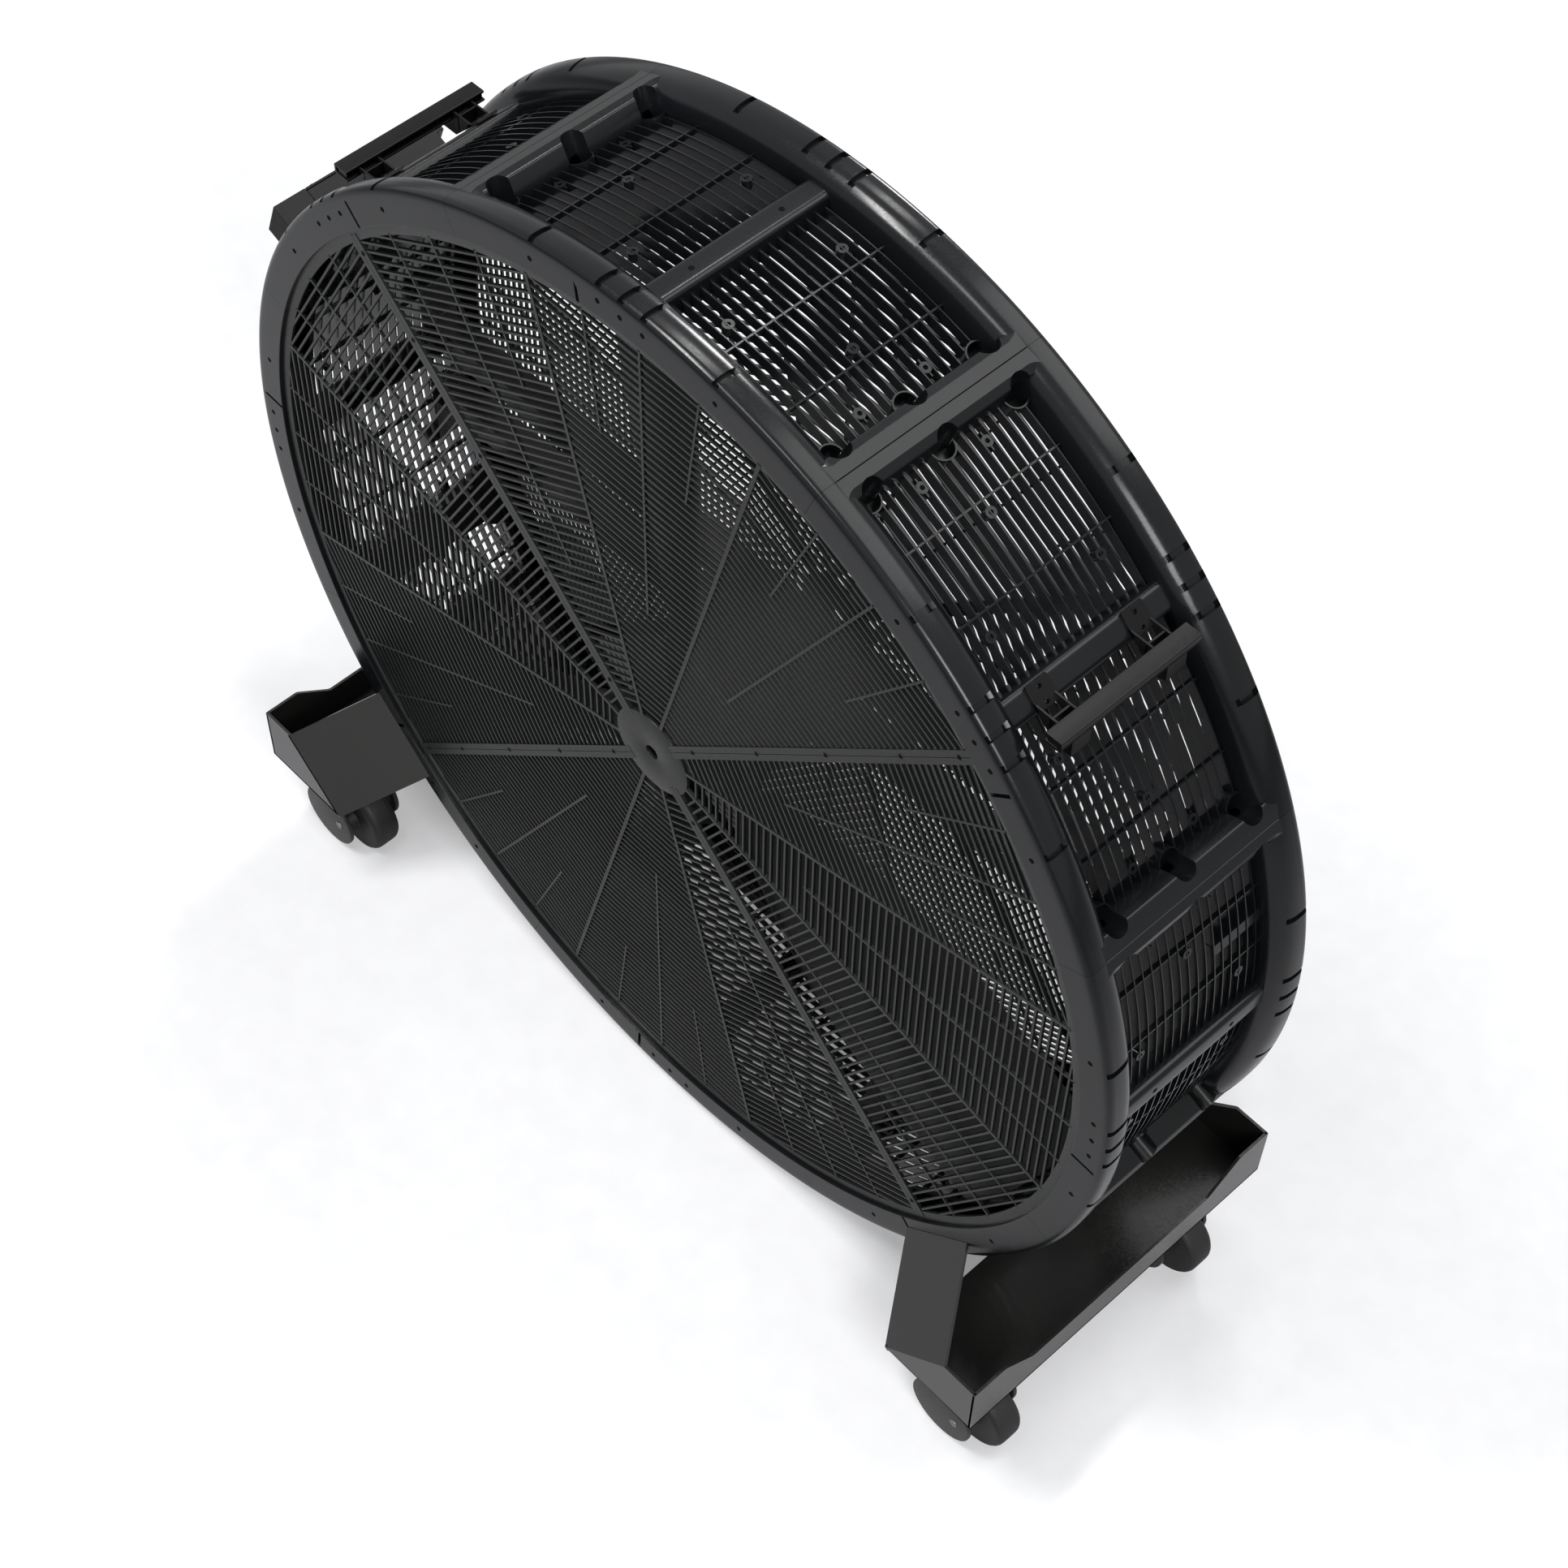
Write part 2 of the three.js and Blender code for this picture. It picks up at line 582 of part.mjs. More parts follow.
place('motor_shell', ringY([
  [MOTOR_RADIUS - MOTOR_WALL, MOTOR_FRONT],
  [MOTOR_RADIUS, MOTOR_FRONT],
  [MOTOR_RADIUS, MOTOR_BACK],
  [MOTOR_RADIUS - MOTOR_WALL, MOTOR_BACK],
], 24), MOTOR_PAINT, drum);

place('motor_stator', ringY([
  [STATOR_BORE, -CORE_LENGTH / 2],
  [MOTOR_RADIUS - MOTOR_WALL - GAP, -CORE_LENGTH / 2],
  [MOTOR_RADIUS - MOTOR_WALL - GAP, CORE_LENGTH / 2],
  [STATOR_BORE, CORE_LENGTH / 2],
], 24), STEEL, drum);

place('motor_rotor_core', ringY([
  [SHAFT_RADIUS + GAP, -CORE_LENGTH / 2],
  [ROTOR_CORE_RADIUS, -CORE_LENGTH / 2],
  [ROTOR_CORE_RADIUS, CORE_LENGTH / 2],
  [SHAFT_RADIUS + GAP, CORE_LENGTH / 2],
]), STEEL, drum);

// An end bell: a plate with a seat for the bearing, open to the shaft. Direction -1 is
// the front one.
function endBell(direction, shaftHole) {
  const inner = direction < 0 ? MOTOR_FRONT - GAP : MOTOR_BACK + GAP;
  const outer = inner + direction * BELL_THICK;
  const seat = inner + direction * BEARING_WIDTH;
  const outline = [
    [BEARING_RADIUS + GAP, inner],
    [MOTOR_RADIUS, inner],
    [MOTOR_RADIUS - BELL_RIM, inner + direction * BELL_THICK * 0.6],
    [BELL_NOSE_RADIUS + BELL_SHOULDER, outer - direction * BELL_CHAMFER],
    [BELL_NOSE_RADIUS, outer],
    [shaftHole, outer],
    [shaftHole, seat + direction * GAP],
    [BEARING_RADIUS + GAP, seat + direction * GAP],
  ];
  return ringY(outline, 24);
}
place('motor_front_bell', endBell(-1, SHAFT_RADIUS + BELL_HOLE_CLEARANCE), MOTOR_PAINT, drum);
place('motor_rear_bell', endBell(1, SHAFT_RADIUS + BELL_HOLE_CLEARANCE), MOTOR_PAINT, drum);

const bearingPlaces = [
  ['bearing_front', MOTOR_FRONT - GAP - BEARING_WIDTH],
  ['bearing_rear', MOTOR_BACK + GAP],
];
for (const [name, y] of bearingPlaces) {
  place(name, ringY([
    [SHAFT_RADIUS + GAP, y],
    [BEARING_RADIUS, y],
    [BEARING_RADIUS, y + BEARING_WIDTH],
    [SHAFT_RADIUS + GAP, y + BEARING_WIDTH],
  ]), STEEL, drum);
}

// ---------------------------------------------------------------- motor carrier
const PLATE_FRONT = BELL_BACK + GAP;
const PLATE_BACK = PLATE_FRONT + CARRIER_PLATE;
const H = CARRIER_PLATE_HALF;
const C = CARRIER_PLATE_HALF - CARRIER_CORNER;
place('motor_plate', geometryOf(cut(
  solid(prismY([
    [-C, -H], [C, -H], [H, -C], [H, C], [C, H], [-C, H], [-H, C], [-H, -C],
  ], PLATE_FRONT, PLATE_BACK)),
  [barY(SHAFT_RADIUS + CARRIER_HOLE_CLEARANCE, PLATE_FRONT - 1, PLATE_BACK + 1)],
)), POWDER_COAT, drum);

// A square tube across the drum with a foot plate at each end, open at both ends.
function supportTube(level) {
  const y0 = PLATE_BACK + GAP;
  const y1 = y0 + TUBE_SIZE;
  const z = level * TUBE_HEIGHT;
  const half = TUBE_SIZE / 2;
  const inner = half - TUBE_WALL;
  const z0 = level > 0 ? FOOT_LOW : -FOOT_HIGH;
  const pieces = [box(-FOOT_REACH + 1, FOOT_REACH - 1, y0, y1, z - half, z + half)];
  for (const side of [-1, 1]) {
    const x0 = side > 0 ? FOOT_REACH - FOOT_THICK : -FOOT_REACH;
    pieces.push(box(x0, x0 + FOOT_THICK, y0 - FOOT_LIP, y1 + FOOT_LIP, z0, z0 + FOOT_HIGH - FOOT_LOW));
  }
  const bore = box(-FOOT_REACH - 5, FOOT_REACH + 5, y0 + TUBE_WALL, y1 - TUBE_WALL, z - inner, z + inner);
  return geometryOf(cut(joined(pieces), [bore]));
}
place('support_tube_upper', supportTube(1), POWDER_COAT, drum);
place('support_tube_lower', supportTube(-1), POWDER_COAT, drum);

// ---------------------------------------------------------------- switch box
// Built on the +X side and turned to its seam beam: X is the radius, Z the tangent. Its
// back end steps up over the rear rim.
const boxDrum = new THREE.Group();
boxDrum.rotation.y = -rad(BOX_ANGLE);
drum.add(boxDrum);
const BOX_SEAT = BEAM_TOP + GAP;
const BOX_STEP = RIM_RADIUS + GAP;
const BOX_STEP_FRONT = HALF_DEPTH - RECESS_END;
const BOX_SPLIT = BOX_FRONT + BOX_CAP_LENGTH;
const W = BOX_HALF_WIDTH;
const V = BOX_HALF_WIDTH - BOX_SHEET;
place('switch_box_body', geometryOf(cut(
  solid(box(BOX_SEAT, BOX_TOP - BOX_LID - GAP, BOX_SPLIT + GAP, BOX_BACK, -W, W)),
  [
    box(BOX_SEAT - 5, BOX_STEP, BOX_STEP_FRONT, BOX_BACK + 5, -W - 5, W + 5),
    box(BOX_SEAT + BOX_SHEET, BOX_TOP + 5, BOX_SPLIT - 5, BOX_STEP_FRONT - BOX_SHEET, -V, V),
    box(BOX_STEP + BOX_SHEET, BOX_TOP + 5, BOX_SPLIT - 5, BOX_BACK - BOX_SHEET, -V, V),
  ],
)), POWDER_COAT, boxDrum);
const lid = box(BOX_TOP - BOX_LID, BOX_TOP, BOX_SPLIT + GAP, BOX_BACK, -W, W);
place('switch_box_lid', lid, POWDER_COAT, boxDrum);
place('switch_box_end', geometryOf(cut(
  solid(box(BOX_SEAT, BOX_TOP, BOX_FRONT, BOX_SPLIT, -W, W)),
  [box(BOX_SEAT + BOX_SHEET, BOX_TOP - BOX_SHEET, BOX_FRONT + BOX_SHEET, BOX_SPLIT + 5, -V, V)],
)), POWDER_COAT, boxDrum);

// Speed knob and the cable's gland, on the back end of the box.
place('speed_knob', geometryOf(joined([
  barY(KNOB_RADIUS, 0, KNOB_PLATE),
  box(-KNOB_POINTER / 2, KNOB_POINTER / 2, 0, KNOB_THICK, -KNOB_RADIUS + 0.5, KNOB_RADIUS - 0.5),
])), BLACK_PLASTIC, boxDrum, BOX_TOP - BOX_LID - KNOB_RADIUS, BOX_BACK + GAP, 0);
place('cable_gland', ringY([
  [GLAND_RADIUS * 0.5, 0],
  [GLAND_RADIUS + GLAND_COLLAR, 0],
  [GLAND_RADIUS + GLAND_COLLAR, GLAND_COLLAR_LENGTH],
  [GLAND_RADIUS, GLAND_COLLAR_LENGTH],
  [GLAND_RADIUS * 0.8, GLAND_LENGTH],
  [GLAND_RADIUS * 0.5, GLAND_LENGTH],
], 12), BLACK_PLASTIC, boxDrum, BOX_STEP + GLAND_RADIUS + 2 * GLAND_COLLAR, BOX_BACK + GAP, 0);

// ---------------------------------------------------------------- handles
// The right handle, on the middle beam at 45 degrees. Its struts run level from the
// beam to a channel-shaped grip with ribs inside.
function handle() {
  const gripIn = GRIP_OUT - GRIP_WIDTH;
  const half = GRIP_LENGTH / 2;
  const low = GRIP_TOP - GRIP_HEIGHT;
  const W1 = GRIP_WALL;
  const pieces = [prismY([
    [gripIn, GRIP_TOP - W1], [GRIP_OUT - W1, GRIP_TOP - W1], [GRIP_OUT - W1, low + W1], [gripIn, low + W1],
    [gripIn, low], [GRIP_OUT - GRIP_CHAMFER, low], [GRIP_OUT, low + GRIP_CHAMFER], [GRIP_OUT, GRIP_TOP],
    [gripIn, GRIP_TOP],
  ], -half, half)];
  const between = STRUT_SPACING - STRUT_WIDTH;
  for (let i = 1; i <= GRIP_RIBS; i += 1) {
    const y0 = -between / 2 + i * (between / (GRIP_RIBS + 1)) - GRIP_RIB / 2;
    pieces.push(box(gripIn + W1, GRIP_OUT - W1 / 2, y0, y0 + GRIP_RIB, low + W1 / 2, GRIP_TOP - W1 / 2));
  }
  const reach = GRIP_OUT - W1 / 2;
  const root = HANDLE_SEAT - STRUT_ROOT;
  const rib = gripIn - STRUT_CELL;
  const bottom = STRUT_TOP - STRUT_DEPTH;
  const struts = [];
  const cells = [];
  const pads = [];
  for (const side of [-1, 1]) {
    const y0 = side * STRUT_SPACING / 2 - STRUT_WIDTH / 2;
    const y1 = y0 + STRUT_WIDTH;
    struts.push(box(root, reach, y0, y1, bottom, STRUT_TOP));
    const cell = [y0 + STRUT_WALL, y1 - STRUT_WALL, bottom - STRUT_WALL, STRUT_TOP + STRUT_WALL];
    cells.push(box(root - STRUT_WALL, rib - STRUT_WALL, ...cell));
    cells.push(box(rib, reach - STRUT_WALL, ...cell));
    pads.push(turned(box(BEAM_TOP + GAP, BEAM_TOP + GAP + PAD_THICK, y0, y1, -PAD_HALF, PAD_HALF), 45));
  }
  const wide = 3 * STRUT_ROOT;
  const beam = turned(box(BEAM_TOP - wide, BEAM_TOP + GAP, -half, half, -wide, wide), 45);
  const strutBody = cut(joined(struts), [...cells, beam]);
  return geometryOf([...pieces, ...pads].map(solid).reduce((sum, piece) => sum.add(piece), strutBody));
}
const rightHandle = handle();
place('handle_right', rightHandle, BLACK_PLASTIC, drum);
place('handle_left', mirrored(rightHandle), BLACK_PLASTIC, drum);

// ---------------------------------------------------------------- troughs of the stand
function trough() {
  const inner = LEG_OUTER - LEG_WIDTH;
  const top = LEG_UNDERSIDE + LEG_END_HEIGHT;
  const y = LEG_LENGTH / 2;
  const floor = box(inner, LEG_OUTER, -y, y, LEG_UNDERSIDE, LEG_UNDERSIDE + LEG_SHEET);
  const dip = LEG_UNDERSIDE + LEG_MID_HEIGHT;
  const dipStart = y - LEG_DIP_RUN;
  const dipEnd = dipStart - LEG_DIP_SLOPE;
  const wall = prismX([
    [-y, LEG_UNDERSIDE], [y, LEG_UNDERSIDE], [y, top], [dipStart, top], [dipEnd, dip],
    [-dipEnd, dip], [-dipStart, top], [-y, top],
  ], LEG_OUTER - LEG_SHEET, LEG_OUTER);
  const cap = [
    [inner, LEG_UNDERSIDE], [LEG_OUTER, LEG_UNDERSIDE], [LEG_OUTER, top], [LEG_OUTER - CAP_TOP_WIDTH, top],
  ];
  const pieces = [floor, wall, prismY(cap, -y, -y + LEG_SHEET), prismY(cap, y - LEG_SHEET, y)];

  // Gussets fold back from each end cap's sloping edge to the drum's flange. Their outline
  // is in the radius towards the trough and Y.
  const diagonal = Math.SQRT1_2;
  const foldRadius = ((LEG_OUTER - CAP_TOP_WIDTH) + (AXIS_HEIGHT - top)) * diagonal;
  const t1 = ((LEG_OUTER - CAP_TOP_WIDTH) - (AXIS_HEIGHT - top)) * diagonal;
  const t0 = (inner - (AXIS_HEIGHT - LEG_UNDERSIDE)) * diagonal;
  const seat = RIM_RADIUS - GUSSET_SEAT;
  const slant = LEG_SHEET * Math.SQRT2;
  const face = HALF_DEPTH + GAP;
  for (const side of [-1, 1]) {
    const outline = [
      [foldRadius, side * y], [foldRadius + slant, side * y],
      [seat + slant, side * face], [seat, side * face],
    ];
    if (side > 0) {
      outline.reverse();
    }
    const shape = new THREE.Shape(outline.map(([u, v]) => new THREE.Vector2(u, v)));
    const gusset = new THREE.ExtrudeGeometry(shape, { depth: t1 - t0, bevelEnabled: false });
    gusset.translate(0, 0, t0);
    gusset.applyMatrix4(new THREE.Matrix4().makeBasis(
      new THREE.Vector3(diagonal, 0, -diagonal), new THREE.Vector3(0, 1, 0),
      new THREE.Vector3(diagonal, 0, diagonal)));
    gusset.translate(0, 0, AXIS_HEIGHT);
    pieces.push(gusset);
  }
  return geometryOf(joined(pieces));
}
const rightTrough = trough();
place('leg_trough_right', rightTrough, POWDER_COAT, fan);
place('leg_trough_left', mirrored(rightTrough), POWDER_COAT, fan);

// ---------------------------------------------------------------- casters
const PLATE_TOP = LEG_UNDERSIDE - GAP;
const [PLATE_X, PLATE_Y, PLATE_THICK] = CASTER_PLATE;
const CROWN_TOP = CROWN_HEIGHT + CROWN_THICK;
const casterPlate = geometryOf(joined([
  box(-PLATE_X / 2, PLATE_X / 2, -PLATE_Y / 2, PLATE_Y / 2, PLATE_TOP - PLATE_THICK, PLATE_TOP),
  barZ(RACE_RADIUS, CROWN_TOP + GAP, PLATE_TOP - PLATE_THICK / 2),
]));

// A crown with two round cheeks, swivelling under the plate.
function fork() {
  const half = FORK_WIDTH / 2;
  const crown = box(CHEEK_TRAIL - CROWN_HALF, CHEEK_TRAIL + CROWN_HALF, -half, half, CROWN_HEIGHT, CROWN_TOP);
  const pieces = [crown];
  for (const side of [-1, 1]) {
    const y0 = side > 0 ? half - CHEEK_THICK : -half;
    const y1 = y0 + CHEEK_THICK;
    pieces.push(barY(CHEEK_RADIUS, y0, y1, CHEEK_TRAIL, WHEEL_RADIUS, 20));
    pieces.push(box(CHEEK_TRAIL - CHEEK_NECK, CHEEK_TRAIL + CHEEK_NECK, y0, y1,
      WHEEL_RADIUS + CHEEK_NECK_START, CROWN_TOP - CROWN_THICK / 4));
  }
  const axleHole = barY(AXLE_RADIUS + GAP, -half - 1, half + 1, WHEEL_TRAIL, WHEEL_RADIUS, 12);
  return geometryOf(cut(joined(pieces), [axleHole]));
}
const forkShape = fork();

const HUB_HALF = FORK_WIDTH / 2 - CHEEK_THICK - GAP;
const TREAD_HALF = WHEEL_WIDTH / 2;
const wheelShape = ringY([
  [AXLE_RADIUS + GAP, -HUB_HALF],
  [WHEEL_CORE_RADIUS, -HUB_HALF],
  [WHEEL_CORE_RADIUS, -TREAD_HALF],
  [WHEEL_RADIUS - WHEEL_ROUND, -TREAD_HALF],
  [WHEEL_RADIUS, -TREAD_HALF + WHEEL_ROUND],
  [WHEEL_RADIUS, TREAD_HALF - WHEEL_ROUND],
  [WHEEL_RADIUS - WHEEL_ROUND, TREAD_HALF],
  [WHEEL_CORE_RADIUS, TREAD_HALF],
  [WHEEL_CORE_RADIUS, HUB_HALF],
  [AXLE_RADIUS + GAP, HUB_HALF],
], 24);
const axleShape = barY(AXLE_RADIUS, -FORK_WIDTH / 2 - AXLE_PROUD, FORK_WIDTH / 2 + AXLE_PROUD, 0, 0, 12);

const legMiddle = LEG_OUTER - LEG_WIDTH / 2;
const casterRows = [
  ['front', CASTER_FRONT_INSET - LEG_LENGTH / 2],
  ['rear', LEG_LENGTH / 2 - CASTER_BACK_INSET],
];
for (const [sideName, x] of [['right', legMiddle], ['left', -legMiddle]]) {
  for (const [endName, y] of casterRows) {
    const tag = `${endName}_${sideName}`;
    place(`caster_plate_${tag}`, casterPlate, STEEL, fan, x, y, 0);
    place(`caster_fork_${tag}`, forkShape, BLACK_PLASTIC, fan, x, y, 0);
    place(`caster_axle_${tag}`, axleShape, STEEL, fan, x + WHEEL_TRAIL, y, WHEEL_RADIUS);
    place(`caster_wheel_${tag}`, wheelShape, RUBBER, fan, x + WHEEL_TRAIL, y, WHEEL_RADIUS);
  }
}

// The middle of the fan's outline stands over the origin.
fan.updateMatrixWorld(true);
const centre = new THREE.Box3().setFromObject(fan, true).getCenter(new THREE.Vector3());
fan.position.set(-centre.x, -centre.y, 0);

export default fan;
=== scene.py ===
import bmesh
import bpy
import numpy as np
from mathutils import Matrix


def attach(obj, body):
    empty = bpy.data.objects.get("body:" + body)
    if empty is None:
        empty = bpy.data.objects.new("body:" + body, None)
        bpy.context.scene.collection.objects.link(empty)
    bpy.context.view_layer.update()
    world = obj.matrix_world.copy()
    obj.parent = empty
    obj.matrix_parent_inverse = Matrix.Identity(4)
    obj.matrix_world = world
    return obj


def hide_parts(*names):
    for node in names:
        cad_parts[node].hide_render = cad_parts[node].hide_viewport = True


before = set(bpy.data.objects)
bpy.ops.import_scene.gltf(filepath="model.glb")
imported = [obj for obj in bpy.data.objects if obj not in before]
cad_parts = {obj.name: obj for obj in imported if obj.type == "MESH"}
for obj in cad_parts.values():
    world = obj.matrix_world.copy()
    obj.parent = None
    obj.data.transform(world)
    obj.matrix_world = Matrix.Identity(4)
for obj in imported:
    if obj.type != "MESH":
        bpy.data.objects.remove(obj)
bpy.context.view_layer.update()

# ------------------------------------------------------------------ drum housing
# The barrel of the fan: eight panels injection moulded in black polypropylene, each a
# share of both fat rims with a lattice wall between them, bolted together at the seams.
# Lengths are in millimetres, measured from the drum's axis.
AXIS_HEIGHT = 596.0
SIDE_SHIFT = 8.3425
DRUM_TURN = 1.7
HALF_DEPTH = 125.0
RIM_RADIUS = 585.0
SEAM = 0.15
PANEL_HALF = 22.5


def linear(code):
    """The linear colour of an sRGB hex value: ((c + 0.055) / 1.055) to the power 2.4, or
    c / 12.92 where c is small."""
    c = np.array([int(code[i:i + 2], 16) for i in (1, 3, 5)]) / 255
    c = np.where(c > 0.04045, ((c + 0.055) / 1.055) ** 2.4, c / 12.92)
    return (*c.tolist(), 1.0)


def add_node(tree, kind, inputs=(), **settings):
    """Adds a node, sets its settings, and fills its inputs with numbers or links."""
    node = tree.nodes.new(kind)
    for name, value in settings.items():
        setattr(node, name, value)
    for name, value in dict(inputs).items():
        if isinstance(value, bpy.types.NodeSocket):
            tree.links.new(value, node.inputs[name])
        else:
            node.inputs[name].default_value = value
    return node


def finish_material(name, dark, pale, rough, grain, dent, patch=0.16, metallic=0.0,
                    ior=1.49, shine=0.3, coat=0.0, streak=(1, 1, 1)):
    """A surface with two close tones in patches, a grain of bumps and uneven gloss. grain
    and patch are sizes in metres, dent is the depth of the grain, rough its (low, high)
    roughness, shine its specular level, and streak stretches the grain along an axis."""
    material = bpy.data.materials.new(name)
    material.use_nodes = True
    tree = material.node_tree
    tree.nodes.clear()
    place = add_node(tree, "ShaderNodeTexCoord").outputs["Object"]
    along = add_node(tree, "ShaderNodeMapping", {"Vector": place, "Scale": streak})
    fine = add_node(tree, "ShaderNodeTexNoise", {
        "Vector": along.outputs[0], "Scale": 1 / grain, "Detail": 2.0})
    broad = add_node(tree, "ShaderNodeTexNoise", {
        "Vector": place, "Scale": 1 / patch, "Detail": 3.0, "Roughness": 0.6})
    tone = add_node(tree, "ShaderNodeMapRange", {
        "Value": broad.outputs[0], "From Min": 0.35, "From Max": 0.65})
    colour = add_node(tree, "ShaderNodeMix", {
        0: tone.outputs[0], 6: linear(dark), 7: linear(pale)}, data_type="RGBA")
    gloss = add_node(tree, "ShaderNodeMapRange", {
        "Value": fine.outputs[0], "From Min": 0.3, "From Max": 0.7,
        "To Min": rough[0], "To Max": rough[1]})
    bump = add_node(tree, "ShaderNodeBump", {
        "Height": fine.outputs[0], "Strength": 0.6, "Distance": dent})
    shader = add_node(tree, "ShaderNodeBsdfPrincipled", {
        "Base Color": colour.outputs[2], "Roughness": gloss.outputs[0],
        "Normal": bump.outputs[0], "Metallic": metallic, "IOR": ior,
        "Specular IOR Level": shine, "Coat Weight": coat, "Coat Roughness": 0.25})
    add_node(tree, "ShaderNodeOutputMaterial", {"Surface": shader.outputs[0]})
    return material


def polar(r, degrees, y):
    """The point (r cos a, y, r sin a), for numbers or arrays that match."""
    a = np.radians(degrees)
    r, a, y = np.broadcast_arrays(r, a, y)
    return np.stack([r * np.cos(a), y, r * np.sin(a)], -1)


def fillet(outline, cuts, steps=4):
    """Rounds each corner of a closed outline: from the point one cut before the corner
    to the point one cut after it runs the curve (1-t)^2 p + 2t(1-t) corner + t^2 q."""
    p = np.array(outline, float)
    cuts = np.broadcast_to(np.array(cuts, float), len(p))[:, None]
    before = np.roll(p, 1, 0) - p
    after = np.roll(p, -1, 0) - p
    start = p + before / np.linalg.norm(before, axis=1, keepdims=True) * cuts
    end = p + after / np.linalg.norm(after, axis=1, keepdims=True) * cuts
    t = np.linspace(0, 1, steps + 1)[None, :, None]
    curve = (1 - t) ** 2 * start[:, None] + 2 * t * (1 - t) * p[:, None]
    return (curve + t ** 2 * end[:, None]).reshape(-1, 2)


def carried(rings, closed=False):
    """A closed outline carried from ring to ring, rings being (stations, points, 3): a
    face joins each neighbouring pair of points on each neighbouring pair of rings. The
    two ends are capped, or joined to each other where the path is closed."""
    rings = np.asarray(rings, float)
    m, n = rings.shape[:2]
    i, j = np.meshgrid(np.arange(m if closed else m - 1), np.arange(n), indexing="ij")
    i2, j2 = (i + 1) % m, (j + 1) % n
    faces = np.stack([i * n + j, i * n + j2, i2 * n + j2, i2 * n + j], -1).reshape(-1, 4)
    faces = faces.tolist()
    if not closed:
        faces += [list(range(n))[::-1], list(range((m - 1) * n, m * n))]
    return rings.reshape(-1, 3), faces


def prism(outline, low, high, axes):
    """A flat closed outline carried from low to high along the third axis. axes says where
    the outline's two numbers and the height go, such as (0, 2, 1) for X, Z, then Y."""
    p = np.array(outline, float)
    rings = np.zeros((2, len(p), 3))
    rings[:, :, axes[0]] = p[:, 0]
    rings[:, :, axes[1]] = p[:, 1]
    rings[0, :, axes[2]] = low
    rings[1, :, axes[2]] = high
    return carried(rings)


def lathe(outline, steps, centre=(0, 0, 0), axis="y"):
    """A closed outline of (radius, height) turned once round an axis through centre: the
    point (r cos a, r sin a) at each angle a, with its height along the axis."""
    p = np.array(outline, float)
    a = np.linspace(0, 2 * np.pi, steps, endpoint=False)[:, None]
    u, v = p[:, 0] * np.cos(a), p[:, 0] * np.sin(a)
    w = np.broadcast_to(p[:, 1], u.shape)
    order = {"x": [w, u, v], "y": [u, w, v], "z": [u, v, w]}[axis]
    points, faces = carried(np.stack(order, -1), closed=True)
    return points + np.array(centre, float), faces


def blocks(low, high):
    """Blocks from arrays (count, 3) of low and high corners: eight corners, six faces each."""
    low, high = np.atleast_2d(np.array(low, float)), np.atleast_2d(np.array(high, float))
    pick = np.array([[0, 0, 0], [1, 0, 0], [1, 1, 0], [0, 1, 0],
                     [0, 0, 1], [1, 0, 1], [1, 1, 1], [0, 1, 1]])
    points = np.where(pick[None], high[:, None], low[:, None])
    return hexes(points)


def hexes(points):
    """Faces for arrays (count, 8, 3) of corners in the order of blocks."""
    side = np.array([[0, 3, 2, 1], [4, 5, 6, 7], [0, 1, 5, 4],
                     [1, 2, 6, 5], [2, 3, 7, 6], [3, 0, 4, 7]])
    faces = (np.arange(len(points))[:, None, None] * 8 + side[None]).reshape(-1, 4)
    return points.reshape(-1, 3), faces.tolist()


def turn(part, degrees):
    """A part turned round the drum's axis, from +X towards +Z: x becomes x cos a - z sin a,
    and z becomes x sin a + z cos a."""
    points, faces = part
    c, s = np.cos(np.radians(degrees)), np.sin(np.radians(degrees))
    return np.asarray(points) @ np.array([[c, 0, s], [0, 1, 0], [-s, 0, c]]), faces


def mirror(part, axis):
    """A part mirrored in the plane across an axis; piece() turns its faces right again."""
    sign = np.ones(3)
    sign[axis] = -1
    return np.asarray(part[0]) * sign, part[1]


def move(part, x=0, y=0, z=0):
    """A part moved along the three axes."""
    return np.asarray(part[0]) + np.array([x, y, z], float), part[1]


def soften_edges(thing, width, steepest):
    """A bevel of a width in millimetres on the edges that turn by more than an angle."""
    edge = thing.modifiers.new("edges", "BEVEL")
    edge.width = width / 1000
    edge.segments = 2
    edge.limit_method = "ANGLE"
    edge.angle_limit = np.radians(steepest)
    edge.harden_normals = True


def piece(name, parts, material, body, nodes=(), turned=True, bevel=0.0,
          angle=38, centre=(0, 0, AXIS_HEIGHT)):
    """One object from parts in millimetres round a centre, with doubled points merged and
    faces turned outwards, and edges sharper than an angle kept sharp."""
    points, faces, count = [], [], 0
    for part_points, part_faces in parts:
        points.append(np.asarray(part_points, float))
        faces += [[i + count for i in face] for face in part_faces]
        count += len(part_points)
    points = np.concatenate(points)
    if turned:
        points = turn((points, None), DRUM_TURN)[0]
    points = (points + np.array(centre) + np.array([SIDE_SHIFT, 0, 0])) / 1000
    mesh = bpy.data.meshes.new(name)
    mesh.from_pydata(points, [], faces)
    work = bmesh.new()
    work.from_mesh(mesh)
    bmesh.ops.remove_doubles(work, verts=work.verts, dist=2e-6)
    bmesh.ops.recalc_face_normals(work, faces=work.faces)
    work.to_mesh(mesh)
    work.free()
    mesh.polygons.foreach_set("use_smooth", np.ones(len(mesh.polygons), bool))
    mesh.set_sharp_from_angle(angle=np.radians(angle))
    mesh.materials.append(material)
    thing = bpy.data.objects.new(name, mesh)
    bpy.context.scene.collection.objects.link(thing)
    if bevel:
        soften_edges(thing, bevel, 40)
    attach(thing, body)
    if nodes:
        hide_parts(*nodes)


